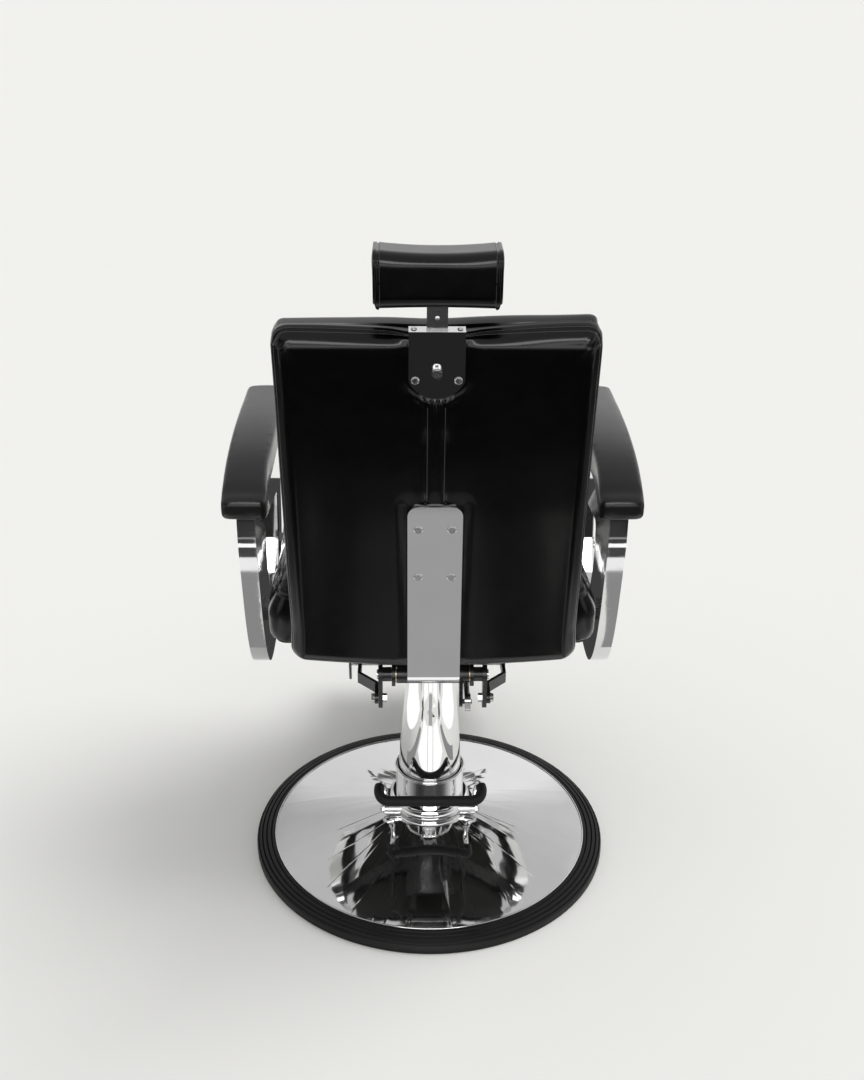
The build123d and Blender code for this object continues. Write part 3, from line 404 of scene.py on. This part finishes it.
world = bpy.data.worlds.new("studio")
scene.world = world
world.use_nodes = True
sky = world.node_tree
sky.nodes.clear()
sky_out = sky.nodes.new("ShaderNodeOutputWorld")
studio = sky.nodes.new("ShaderNodeBackground")
plain = sky.nodes.new("ShaderNodeBackground")
plain.inputs["Color"].default_value = (0.875, 0.87, 0.842, 1)
direction = sky.nodes.new("ShaderNodeTexCoord")
axes = sky.nodes.new("ShaderNodeSeparateXYZ")
sky.links.new(direction.outputs["Generated"], axes.inputs[0])
azimuth = sky.nodes.new("ShaderNodeMath")
azimuth.operation = "ARCTAN2"
sky.links.new(axes.outputs["Y"], azimuth.inputs[0])
sky.links.new(axes.outputs["X"], azimuth.inputs[1])
band = sky.nodes.new("ShaderNodeMath")
band.operation = "MULTIPLY"
band.inputs[1].default_value = 6.0
sky.links.new(azimuth.outputs[0], band.inputs[0])
wave = sky.nodes.new("ShaderNodeMath")
wave.operation = "COSINE"
sky.links.new(band.outputs[0], wave.inputs[0])
strips = remap(sky, wave.outputs[0], 1.0, 0.66, 0.3, 0.85)
height = remap(sky, axes.outputs["Z"], 0.0, 1.0, 0.45, 0.7)
behind = remap(sky, axes.outputs["Y"], 1.0, 0.1, 0.1, 0.7)
aside = remap(sky, axes.outputs["X"], 1.4, 0.9, -0.5, 0.5)
level = sky.nodes.new("ShaderNodeMath")
level.operation = "MULTIPLY"
sky.links.new(behind, level.inputs[0])
sky.links.new(aside, level.inputs[1])
facing = sky.nodes.new("ShaderNodeMath")
facing.operation = "MULTIPLY"
sky.links.new(strips, facing.inputs[0])
sky.links.new(level.outputs[0], facing.inputs[1])
walls = sky.nodes.new("ShaderNodeMix")
sky.links.new(height, walls.inputs["Factor"])
sky.links.new(facing.outputs[0], walls.inputs["A"])
walls.inputs["B"].default_value = 0.78
sky.links.new(walls.outputs["Result"], studio.inputs["Color"])
studio.inputs["Strength"].default_value = 0.73
rays = sky.nodes.new("ShaderNodeLightPath")
seen = sky.nodes.new("ShaderNodeMixShader")
sky.links.new(rays.outputs["Is Camera Ray"], seen.inputs[0])
sky.links.new(studio.outputs[0], seen.inputs[1])
sky.links.new(plain.outputs[0], seen.inputs[2])
sky.links.new(seen.outputs[0], sky_out.inputs["Surface"])


def sun(name, toward, strength, spread_degrees):
    light = bpy.data.lights.new(name, "SUN")
    light.energy = strength
    light.angle = math.radians(spread_degrees)
    o = bpy.data.objects.new(name, light)
    scene.collection.objects.link(o)
    o.rotation_euler = (-Vector(toward)).to_track_quat("-Z", "Y").to_euler()
    o.visible_glossy = False


sun("key", (-0.62, -0.14, 1.0), 1.34, 38)
sun("fill", (0.3, 0.4, 1.0), 0.4, 90)

# ------------------------------------------------------------------ mesh helpers


def new_piece(name, points, faces, material, body):
    """A smooth visual piece that moves with a body and takes a material slot."""
    mesh = bpy.data.meshes.new(name)
    mesh.from_pydata([tuple(p) for p in points], [], faces)
    mesh.validate()
    mesh.materials.append(material)
    mesh.shade_smooth()
    o = bpy.data.objects.new(name, mesh)
    scene.collection.objects.link(o)
    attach(o, body)
    return o


def outward(piece):
    """Turns a closed mesh's faces outward."""
    shell = bmesh.new()
    shell.from_mesh(piece.data)
    bmesh.ops.recalc_face_normals(shell, faces=shell.faces)
    shell.to_mesh(piece.data)
    shell.free()
    return piece


def spread(stops):
    """Grid lines from (start, step) stops: each stretch is cut into steps of about that size."""
    values = []
    for (a, step), (b, _) in zip(stops, stops[1:]):
        count = max(1, round((b - a) / step))
        values += [a + (b - a) * i / count for i in range(count)]
    return np.array(values + [stops[-1][0]])


def shell_grid(xs, ys, zs):
    """Points and faces of a box's surface cut along three lists of grid lines."""
    points, index, faces = [], {}, []

    def at(i, j, k):
        key = (i, j, k)
        if key not in index:
            index[key] = len(points)
            points.append((xs[i], ys[j], zs[k]))
        return index[key]

    nx, ny, nz = len(xs) - 1, len(ys) - 1, len(zs) - 1
    for i in range(nx):
        for j in range(ny):
            for k in (0, nz):
                faces.append((at(i, j, k), at(i + 1, j, k), at(i + 1, j + 1, k), at(i, j + 1, k)))
    for i in range(nx):
        for k in range(nz):
            for j in (0, ny):
                faces.append((at(i, j, k), at(i + 1, j, k), at(i + 1, j, k + 1), at(i, j, k + 1)))
    for j in range(ny):
        for k in range(nz):
            for i in (0, nx):
                faces.append((at(i, j, k), at(i, j + 1, k), at(i, j + 1, k + 1), at(i, j, k + 1)))
    return np.array(points), faces


def rounded(points, half, radius):
    """Box points moved onto a rounded box: places and outward normals. The radius may vary by point."""
    radius = np.broadcast_to(np.asarray(radius, float), (len(points),))[:, None]
    inner = np.clip(points, -(half - radius), half - radius)
    away = points - inner
    length = np.linalg.norm(away, axis=1, keepdims=True)
    normal = away / np.maximum(length, 1e-9)
    return inner + radius * normal, normal


def bell(value, width):
    return np.exp(-((value / width) ** 2))


def step_up(value, low, high):
    t = np.clip((value - low) / (high - low), 0, 1)
    return t * t * (3 - 2 * t)


def ripple(points, scale, seed):
    """Smooth pseudo-random height from a few crossing waves."""
    rng = np.random.default_rng(seed)
    total = np.zeros(len(points))
    for _ in range(7):
        direction = rng.normal(size=3)
        direction /= np.linalg.norm(direction)
        turns_per_mm = (2 * math.pi / scale) * rng.uniform(0.6, 1.5)
        total += np.sin(points @ direction * turns_per_mm + rng.uniform(0, 6.3))
    return total / 7


def tube(path, radius, sides=10, closed=False):
    """A round tube along a list of points."""
    path = np.asarray(path, float)
    n = len(path)
    points, faces = [], []
    reference = np.array((0.31, 0.17, 0.93))
    for i in range(n):
        before = path[i - 1] if closed or i else path[i]
        after = path[(i + 1) % n] if closed or i < n - 1 else path[i]
        along = after - before
        along /= np.linalg.norm(along)
        side = np.cross(along, reference)
        side /= np.linalg.norm(side)
        other = np.cross(along, side)
        for k in range(sides):
            turn = 2 * math.pi * k / sides
            points.append(path[i] + radius * (math.cos(turn) * side + math.sin(turn) * other))
    for i in range(n if closed else n - 1):
        j = (i + 1) % n
        for k in range(sides):
            l = (k + 1) % sides
            faces.append((i * sides + k, i * sides + l, j * sides + l, j * sides + k))
    if not closed:
        faces.append(tuple(range(sides))[::-1])
        faces.append(tuple((n - 1) * sides + k for k in range(sides)))
    return points, faces


def join_parts(parts):
    points, faces = [], []
    for more_points, more_faces in parts:
        base = len(points)
        points += [tuple(p) for p in more_points]
        faces += [tuple(base + i for i in f) for f in more_faces]
    return points, faces


def stitches(path, outward_dirs, pitch=4.2, length=3.0, radius=0.42, sink=0.1):
    """Short thread bars laid end to end along a path (millimetres in, metres out)."""
    path = np.asarray(path, float)
    outward_dirs = np.asarray(outward_dirs, float)
    step = np.linalg.norm(np.diff(path, axis=0), axis=1)
    along = np.concatenate(([0], np.cumsum(step)))
    parts = []
    count = int(along[-1] / pitch)
    for i in range(count):
        ends = []
        for k in range(5):
            s = (i + 0.5) * pitch + length * (k / 4 - 0.5)
            p = np.array([np.interp(s, along, path[:, c]) for c in range(3)])
            d = np.array([np.interp(s, along, outward_dirs[:, c]) for c in range(3)])
            lift = math.sin(math.pi * k / 4) * 0.45 - sink
            ends.append((p + d * lift) * MM)
        parts.append(tube(ends, radius * MM, 6))
    return join_parts(parts)


def inflate(piece, voxel, pressure, cap, relaxed):
    """Swells a closed shell with Cloth under pressure, each point held to a cap, then smooths it."""
    bpy.context.view_layer.objects.active = piece
    remesh = piece.modifiers.new("remesh", "REMESH")
    remesh.mode = "VOXEL"
    remesh.voxel_size = voxel
    bpy.ops.object.modifier_apply(modifier=remesh.name)
    piece.data.shade_smooth()
    cloth = piece.modifiers.new("cloth", "CLOTH")
    cloth.settings.quality = 5
    cloth.settings.mass = 0.3
    cloth.settings.tension_stiffness = 18
    cloth.settings.compression_stiffness = 18
    cloth.settings.shear_stiffness = 8
    cloth.settings.bending_stiffness = 0.6
    cloth.settings.use_pressure = True
    cloth.settings.uniform_pressure_force = pressure
    cloth.settings.effector_weights.gravity = 0
    cloth.collision_settings.use_collision = False
    start = np.array([v.co[:] for v in piece.data.vertices])
    for f in range(1, 21):
        scene.frame_set(f)
    solved = piece.evaluated_get(bpy.context.evaluated_depsgraph_get()).data
    end = np.array([v.co[:] for v in solved.vertices])
    piece.modifiers.remove(cloth)
    scene.frame_set(1)
    move = end - start
    far = np.linalg.norm(move, axis=1, keepdims=True)
    move *= np.minimum(1.0, cap / np.maximum(far, 1e-9))
    for vertex, place_now in zip(piece.data.vertices, start + move):
        vertex.co = place_now
    relax = piece.modifiers.new("relax", "SMOOTH")
    relax.factor = 0.5
    relax.iterations = relaxed
    bpy.ops.object.modifier_apply(modifier=relax.name)
    smooth = piece.modifiers.new("smooth", "SUBSURF")
    smooth.levels = 1
    bpy.ops.object.modifier_apply(modifier=smooth.name)
    piece.data.shade_smooth()
    return piece


# ------------------------------------------------------------------ backrest cushion

BACK_R_REAR = 24.0
BACK_R_FRONT = 17.0
BACK_LOW, BACK_HIGH = -1.0, 571.0
BACK_MID_UP = (BACK_LOW + BACK_HIGH) / 2
BACK_HALF = np.array((236.5, (BACK_HIGH - BACK_LOW) / 2, 38.5))
BACK_OUT_MID = -41.0
SEAM_ANGLE = math.radians(62)
CHANNEL = 15.5
HEAD_ARC_R = 44.5
HEAD_LOW, HEAD_STRAIGHT, HEAD_HALF = 988, 1014, 40.5
FOOT_TOP, FOOT_HALF = 812, 42
UNDER_BRACKET = 2.9
PLEAT_PITCH = 8.6


def up_back(z):
    return (z - 515.0) / math.cos(LEAN)


def back_world(local):
    """Points from the backrest's own axes (across, up, out; millimetres) to metres in the frame."""
    local = np.asarray(local, float)
    return (
        BACK_ORIGIN
        + local[:, 0:1] * MM * np.array((1.0, 0.0, 0.0))
        + local[:, 1:2] * MM * BACK_UP
        + local[:, 2:3] * MM * BACK_OUT
    )


def half_width(up):
    """The back is narrowest a little above its bottom."""
    return np.interp(up, (-2, 12, 62, 300, 571), (226.5, 228, 226.5, 231, 236.5))


def bracket_gap(x, up):
    """Distance outside the two brackets' outlines, seen from behind; 0 within them."""
    beside = np.abs(x) - HEAD_HALF
    below = np.hypot(x, up - up_back(HEAD_LOW + HEAD_ARC_R)) - HEAD_ARC_R
    head = np.maximum(np.where(up > up_back(HEAD_STRAIGHT), beside, below), 0)
    foot = np.hypot(np.maximum(np.abs(x) - FOOT_HALF, 0), np.maximum(up - up_back(FOOT_TOP), 0))
    return head, foot


def back_surface(points):
    """The upholstered back from grid points on its box."""
    radius = np.where(points[:, 2] > 0, BACK_R_REAR, BACK_R_FRONT)
    place_now, normal = rounded(points, BACK_HALF, radius)
    x, up, out = place_now[:, 0], place_now[:, 1] + BACK_MID_UP, place_now[:, 2]
    angle = np.arccos(np.clip(normal[:, 2], -1, 1))
    rear = out > 0
    edge_gap = np.minimum(
        (BACK_HALF[0] - BACK_R_REAR) - np.abs(place_now[:, 0]),
        (BACK_HALF[1] - BACK_R_REAR) - np.abs(place_now[:, 1]),
    )
    on_rear = normal[:, 2] > 0.999
    on_side = normal[:, 2] < 0.02
    seam = BACK_R_REAR * (angle - SEAM_ANGLE)
    seam = np.where(on_rear, -BACK_R_REAR * SEAM_ANGLE - np.maximum(edge_gap, 0), seam)
    side_run = BACK_R_REAR * (math.pi / 2 - SEAM_ANGLE) + np.maximum(BACK_HALF[2] - BACK_R_REAR - out, 0)
    seam = np.where(on_side & rear, side_run, seam)
    seam = np.where(rear, seam, 60.0)
    seam_depth = 0.5 + 1.4 * step_up(normal[:, 1], 0.05, 0.5)
    plump = 0.5 + 1.0 * step_up(place_now[:, 1], BACK_HALF[1] - 90.0, BACK_HALF[1] - 45.0)
    height = -seam_depth * bell(seam, 1.5) + plump * bell(seam + 17.0, 15.0) + 0.9 * bell(seam - 10.0, 7.0)

    front_angle = math.pi - angle
    front_seam = BACK_R_FRONT * (front_angle - SEAM_ANGLE)
    front_bend = ~rear & (normal[:, 2] < -0.02) & (normal[:, 2] > -0.999)
    height += np.where(front_bend, -2.2 * bell(front_seam, 2.2), 0.0)

    gap_head, gap_foot = bracket_gap(x, up)
    face = step_up(normal[:, 2], 0.75, 0.98)
    crown = 3.0 * step_up(gap_head, -4.0, 30.0) * step_up(gap_foot, -4.0, 24.0)
    panel = -UNDER_BRACKET + crown
    panel += -1.6 * bell(gap_head - 2.0, 9.0) * (gap_head > 0.5) * step_up(np.abs(x), 22.0, 34.0)
    between = step_up(up, up_back(806), up_back(818)) * (1 - step_up(up, up_back(985), up_back(1000)))
    across = np.abs(x)
    dip = -1.6 * bell(np.maximum(across - CHANNEL, 0), 15.0)
    groove = -1.5 * bell(across - CHANNEL, 1.3)
    band = 1.1 * np.clip(1 - (across / CHANNEL) ** 2, 0, 1)
    panel += between * (dip + groove + band)
    fold = np.sin(x * 2 * math.pi / PLEAT_PITCH + 0.7 * np.sin(up / 11.0) + 0.5)
    pleat_rise = step_up(gap_head, 0.0, 11.0)
    pleat_fade = np.exp(-np.maximum(gap_head, 0) / 34.0)
    gathered = step_up(up, up_back(912), up_back(945)) * (1 - step_up(across, 20.0, 30.0))
    gathered = gathered * (up < up_back(1010))
    pleats = -2.6 + 2.6 * pleat_rise + 1.7 * pleat_rise * pleat_fade * fold * bell(x, 19.0)
    panel = panel * (1 - gathered) + gathered * pleats
    under = 1 - step_up(gap_head, 0.0, 4.5) * step_up(gap_foot, 0.0, 7.0)
    panel = panel * (1 - under) - UNDER_BRACKET * under
    shoulder = 2.6 * bell(across - 32, 9.0) * bell(gap_head - 8.0, 7.0) * (up < up_back(1012))
    panel += shoulder
    panel += 0.5 * ripple(np.column_stack((x, up, out)), 150.0, 4)
    height += face * panel
    height += np.where(normal[:, 2] < -0.7, 3.0 * np.clip(1 - (x / 210) ** 2, 0, 1), 0.0)

    top = step_up(normal[:, 1], 0.6, 0.95)
    press = bell(np.maximum(across - 40, 0), 26.0) * bell(np.minimum(out - 24, 0), 22.0)
    height += top * (-2.4 * press + 0.8 * ripple(np.column_stack((x, up, out)), 110.0, 9))
    puff = step_up(-out, -24.0, 26.0) * (1 - bell(x, 60.0) * 0.7)
    height += top * puff * (5.0 - 3.5 * np.clip(x / 236, -1, 1))
    brow = step_up(normal[:, 1], 0.2, 0.9) * rear
    height += brow * (3.0 * step_up(across, 60.0, 215.0) - 3.2 * bell(x, 95.0))
    height += brow * 3.5 * step_up(-x, 60.0, 215.0)
    side = step_up(np.abs(normal[:, 0]), 0.6, 0.95)
    height += side * (1.0 * bell(out, 26.0) + 0.7 * ripple(np.column_stack((x, up, out)), 130.0, 12))
    corner = bell(np.abs(place_now[:, 0]) - 222, 9.0) * bell(place_now[:, 1] - 273, 9.0)
    height += rear * corner * 0.7 * np.sin((x + up) * 0.5)

    moved = place_now + normal * height[:, None]
    roll = np.clip((moved[:, 1] - (BACK_HALF[1] - 50.0)) / 50.0, 0, 1)
    moved[:, 2] -= 6.5 * roll ** 2 * step_up(moved[:, 2], 0.0, 20.0) * step_up(gap_head, 0.0, 26.0)
    squeeze = half_width(moved[:, 1] + BACK_MID_UP) / BACK_HALF[0]
    up_now = moved[:, 1] + BACK_MID_UP
    x_now = moved[:, 0] * squeeze
    lower = 1 - step_up(up_now, 0.0, 150.0)
    up_now = up_now + 13.0 * (x_now / 228.0) ** 2 * lower
    return np.column_stack((x_now, up_now, moved[:, 2] + BACK_OUT_MID))


def make_back():
    edge = BACK_HALF[0]
    half_x = spread(((0, 1.0), (20, 2.0), (64, 5.5), (edge - 32, 1.5), (edge, 1.5)))
    xs = np.concatenate((-half_x[:0:-1], half_x))
    low, high = -BACK_HALF[1], BACK_HALF[1]
    ys = spread((
        (low, 1.5), (low + 32, 5.5), (up_back(800) - BACK_MID_UP, 1.8), (up_back(826) - BACK_MID_UP, 4.0),
        (up_back(910) - BACK_MID_UP, 1.6), (up_back(1010) - BACK_MID_UP, 3.0),
        (high - 32, 1.4), (high, 1.4),
    ))
    zs = spread(((-BACK_HALF[2], 2.4), (-8, 4.0), (4, 1.4), (BACK_HALF[2], 1.4)))
    points, faces = shell_grid(xs, ys, zs)
    cushion = new_piece(
        "back_upholstery", back_world(back_surface(points)), faces, MATERIALS["vinyl"], "backrest"
    )
    outward(cushion)
    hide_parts("back_cushion", "back_board")


def seam_path(offset):
    """Points and outward directions along the rear seam of the back, moved off it by an arc length."""
    angle = SEAM_ANGLE + offset / BACK_R_REAR
    flat = BACK_HALF - BACK_R_REAR
    loop, normals = [], []

    def add(corner_x, corner_y, dx, dy):
        n = np.array((dx * math.sin(angle), dy * math.sin(angle), math.cos(angle)))
        loop.append(np.array((corner_x, corner_y, flat[2])) + BACK_R_REAR * n)
        normals.append(n)

    for k in range(61):
        add(flat[0], -flat[1] + 2 * flat[1] * k / 60, 1, 0)
    for k in range(1, 9):
        add(flat[0], flat[1], math.cos(k * math.pi / 16), math.sin(k * math.pi / 16))
    for k in range(1, 61):
        add(flat[0] - 2 * flat[0] * k / 60, flat[1], 0, 1)
    for k in range(1, 9):
        add(-flat[0], flat[1], -math.sin(k * math.pi / 16), math.cos(k * math.pi / 16))
    for k in range(1, 61):
        add(-flat[0], flat[1] - 2 * flat[1] * k / 60, -1, 0)
    return np.array(loop), np.array(normals)


def make_back_stitches():
    parts = []
    for offset in (-3.4, 3.0):
        loop, normals = seam_path(offset)
        parts.append(stitches(skin_at(loop), normals))
    marks = 80
    for side in (-1, 1):
        ups = np.linspace(up_back(818), up_back(976), marks)
        x = np.full(marks, side * (CHANNEL - 2.4))
        flat = np.column_stack((x, ups - BACK_MID_UP, np.full(marks, BACK_HALF[2])))
        normals = np.tile((0.0, 0.0, 1.0), (marks, 1))
        parts.append(stitches(back_surface(flat), normals, pitch=4.6, length=3.2))
    points, faces = join_parts(parts)
    points = back_world(np.array(points) / MM)
    seams = new_piece("back_stitching", points, faces, THREAD, "backrest")
    outward(seams)


def skin_at(loop):
    """The finished skin under rounded-box points: the same moves as the cushion's own points get."""
    flat = BACK_HALF - BACK_R_REAR
    inner = np.clip(loop, -flat, flat)
    away = loop - inner
    scale = np.min(
        np.where(np.abs(away) > 1e-6, (BACK_HALF - np.abs(inner)) / np.maximum(np.abs(away), 1e-6), 1e9),
        axis=1, keepdims=True,
    )
    return back_surface(inner + away * scale)


make_back()
make_back_stitches()

# ------------------------------------------------------------------ the other padded pieces


def surface_tree(piece):
    corners = [v.co for v in piece.data.vertices]
    return BVHTree.FromPolygons(corners, [p.vertices for p in piece.data.polygons])


def ring_on(piece, centre, across, along, count=160, lift=0.0):
    """Where rays from a centre, turning in the plane of two directions, leave the piece."""
    skin = surface_tree(piece)
    centre, across, along = Vector(centre), Vector(across), Vector(along)
    ring = []
    for k in range(count):
        turn = 2 * math.pi * k / count
        ray = (across * math.cos(turn) + along * math.sin(turn)).normalized()
        hit = skin.ray_cast(centre + ray, -ray)
        if hit[0] is not None:
            ring.append(np.array(hit[0] + ray * lift))
    return np.array(ring)


def even(ring, pitch=0.003):
    """A closed ring re-cut into equal steps."""
    loop = np.vstack((ring, ring[:1]))
    run = np.concatenate(([0], np.cumsum(np.linalg.norm(np.diff(loop, axis=0), axis=1))))
    marks = np.linspace(0, run[-1], max(24, int(run[-1] / pitch)), endpoint=False)
    return np.column_stack([np.interp(marks, run, loop[:, c]) for c in range(3)])


def points_of(piece):
    flat = np.empty(len(piece.data.vertices) * 3)
    piece.data.vertices.foreach_get("co", flat)
    return flat.reshape(-1, 3)


def set_points(piece, points):
    piece.data.vertices.foreach_set("co", np.asarray(points, float).ravel())
    piece.data.update()


def settle(piece, voxel, relaxed):
    """Remeshes a piece evenly and rounds it off, with one subdivision."""
    bpy.context.view_layer.objects.active = piece
    remesh = piece.modifiers.new("remesh", "REMESH")
    remesh.mode = "VOXEL"
    remesh.voxel_size = voxel
    relax = piece.modifiers.new("relax", "SMOOTH")
    relax.factor = 0.5
    relax.iterations = relaxed
    fine = piece.modifiers.new("fine", "SUBSURF")
    fine.levels = 1
    for step in (remesh, relax, fine):
        bpy.ops.object.modifier_apply(modifier=step.name)
    piece.data.shade_smooth()


def swell(node, name, material, shrink, voxel, pressure, cap, relaxed):
    """A padded piece grown from a CAD solid: drawn in, remeshed, inflated and set back to its size."""
    low, high = (np.array(c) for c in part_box(node))
    middle, half = (low + high) / 2, (high - low) / 2
    mesh = nodes[node].data.copy()
    mesh.name = name
    mesh.materials.clear()
    mesh.materials.append(material)
    piece = bpy.data.objects.new(name, mesh)
    scene.collection.objects.link(piece)
    points = points_of(piece)
    set_points(piece, middle + (points - middle) * (1 - shrink / half))
    if pressure:
        inflate(piece, voxel, pressure, cap, relaxed)
    else:
        settle(piece, voxel, relaxed)
    points = points_of(piece)
    least, most = points.min(axis=0), points.max(axis=0)
    set_points(piece, low + (points - least) * (high - low) / (most - least))
    return piece


def welt(name, ring, radius, material, body):
    points, faces = tube(even(ring), radius, 10, closed=True)
    return outward(new_piece(name, points, faces, material, body))


def groove(piece, distance, depth, width):
    """Presses a piece inward along its own normals where a distance from a seam is small."""
    normals = np.array([v.normal[:] for v in piece.data.vertices])
    points = points_of(piece)
    set_points(piece, points - normals * (depth * bell(distance(points), width))[:, None])


def make_headrest():
    pad = swell("headrest_pad", "headrest_upholstery", MATERIALS["vinyl"], 0.0, 0.003, 0, 0, 12)
    points = points_of(pad)
    low, high = (np.array(c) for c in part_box("headrest_pad"))
    middle = (low + high) / 2
    inset = high[0] - 0.0085
    normals = np.array([v.normal[:] for v in pad.data.vertices])
    saddle = np.clip(1 - (points[:, 0] / inset) ** 2, 0, 1)
    top = step_up(points[:, 2], middle[2], high[2])
    points[:, 2] -= 0.0045 * saddle * top
    points[:, 2] += 0.0016 * saddle * (1 - step_up(points[:, 2], low[2], middle[2]))
    rim = step_up(np.abs(points[:, 0]), inset, inset + 0.0015) * (1 - np.abs(normals[:, 0]) ** 2)
    points += normals * (0.0016 * rim)[:, None]
    ear = rim * bell(points[:, 2] - low[2], 0.008) * bell(points[:, 1] - high[1] + 0.012, 0.016)
    points[:, 2] -= 0.0035 * ear
    points[:, 0] *= 1 - 0.03 * (1 - step_up(points[:, 2], low[2], high[2]))
    crease = 0.0005 * np.sin(points[:, 0] * 38.0 + 1.2) * bell(points[:, 2] - high[2] + 0.013, 0.006)
    points[:, 1] += crease * step_up(points[:, 1], middle[1], high[1]) * saddle
    set_points(pad, points)
    groove(pad, lambda p: np.abs(np.abs(p[:, 0]) - inset), 0.0016, 0.0013)
    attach(pad, "headrest")
    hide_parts("headrest_pad")
    for side in (-1, 1):
        name = "headrest_welt_left" if side > 0 else "headrest_welt_right"
        edge = (side * (high[0] - 0.0035), middle[1], middle[2])
        ring = ring_on(pad, edge, (0, 1, 0), (0, 0, 1), lift=-0.0006)
        welt(name, ring, 0.0019, MATERIALS["vinyl"], "headrest")
        seam_centre = (side * (inset - 0.0028), middle[1], middle[2])
        seam = ring_on(pad, seam_centre, (0, 1, 0), (0, 0, 1))
        out_dirs = (seam - np.array(seam_centre)) * np.array((0, 1, 1))
        out_dirs /= np.linalg.norm(out_dirs, axis=1, keepdims=True)
        thread_points, thread_faces = stitches(seam / MM, out_dirs, 3.6, 2.6, 0.32, 0.12)
        thread_name = name.replace("welt", "stitching")
        outward(new_piece(thread_name, thread_points, thread_faces, THREAD, "headrest"))


def make_seat():
    pad = swell("seat_cushion", "seat_upholstery", MATERIALS["vinyl"], 0.005, 0.0065, 4.0, 0.007, 8)
    low, high = (np.array(c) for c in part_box("seat_cushion"))
    middle = (low + high) / 2
    seam_z = high[2] - 0.026
    front = low[1] + 0.115
    points = points_of(pad)
    side = points[:, 0] / high[0]
    draw = 0.018 * step_up(points[:, 2], seam_z - 0.05, seam_z + 0.01) * np.abs(side) ** 3
    points[:, 0] -= np.sign(side) * draw
    set_points(pad, points)
    groove(pad, lambda p: np.abs(p[:, 2] - seam_z), 0.002, 0.0035)
    on_top = high[2] - 0.03
    groove(pad, lambda p: np.where(p[:, 2] > on_top, np.abs(p[:, 1] - front), 1.0), 0.006, 0.011)
    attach(pad, "seat")
    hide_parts("seat_cushion")
    ring = ring_on(pad, (0, middle[1], seam_z), (1, 0, 0), (0, 1, 0), 300, -0.0008)
    welt("seat_welt", ring, 0.0028, MATERIALS["vinyl"], "seat")
    skin = surface_tree(pad)
    parts = []
    for offset in (-0.006, 0.006):
        line = []
        for x in np.linspace(low[0] + 0.04, high[0] - 0.04, 120):
            hit = skin.ray_cast(Vector((x, front + offset, high[2] + 0.1)), Vector((0, 0, -1)))
            if hit[0] is not None:
                line.append(np.array(hit[0]) / MM)
        parts.append(stitches(line, np.tile((0.0, 0.0, 1.0), (len(line), 1)), 4.6, 3.2, 0.42))
    points, faces = join_parts(parts)
    outward(new_piece("seat_stitching", points, faces, THREAD, "seat"))


def make_leg():
    pad = swell("leg_pad", "leg_upholstery", MATERIALS["vinyl"], 0.004, 0.006, 4.0, 0.006, 8)
    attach(pad, "footrest")
    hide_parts("leg_pad")


def make_arm_pad(side):
    """A moulded pad: its CAD shape softened, crowned along the top and curled out at the rear lip."""
    node = f"arm_pad_{side}"
    low, high = (np.array(c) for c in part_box(node))
    pad = swell(node, f"arm_upholstery_{side}", MATERIALS["arm_vinyl"], 0.0, 0.0035, 0, 0, 16)
    points = points_of(pad)
    across = (points[:, 0] - (low[0] + high[0]) / 2) / ((high[0] - low[0]) / 2)
    normals = np.array([v.normal[:] for v in pad.data.vertices])
    upper = step_up(normals[:, 2], 0.3, 0.95)
    rear = high[1] - points[:, 1]
    lip_hollow = 0.0035 * bell(rear - 0.021, 0.010) * (1 - 0.5 * across ** 2)
    points[:, 2] += upper * (0.0025 * (1 - across ** 2) - lip_hollow)
    points[:, 1] += 0.002 * bell(rear - 0.002, 0.008) * (1 - across ** 2)
    waist = bell(rear - 0.09, 0.05) * (np.sign(points[:, 0]) * across < 0)
    points[:, 0] += np.sign(points[:, 0]) * 0.003 * waist * np.abs(across)
    set_points(pad, points)
    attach(pad, "seat")
    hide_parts(node)


disc_low, disc_high = (np.array(c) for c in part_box("base_disc"))
RIM_R, RIM_Z, RIM_BEAD = disc_high[0] - 0.001, disc_low[2] + 0.0125, 0.0016
turns = np.linspace(0, 2 * math.pi, 181)[:-1]
rim_path = np.column_stack((RIM_R * np.cos(turns), RIM_R * np.sin(turns), np.full(len(turns), RIM_Z)))
rim_points, rim_faces = tube(rim_path, RIM_BEAD, 10, closed=True)
outward(new_piece("base_rim_bead", rim_points, rim_faces, MATERIALS["base_chrome"], "base"))

make_headrest()
make_seat()
make_leg()
make_arm_pad("left")
make_arm_pad("right")

EDGE_WIDTHS = {
    "arm_frame_left": 0.0014, "arm_frame_right": 0.0014, "back_bracket": 0.0011,
    "headrest_bracket": 0.0013, "headrest_bar": 0.0006,
}
for name, width in EDGE_WIDTHS.items():
    bevel = nodes[name].modifiers.new("edge", "BEVEL")
    bevel.width = width
    bevel.segments = 3
    bevel.limit_method = "ANGLE"
    bevel.angle_limit = math.radians(50)
    bevel.harden_normals = True
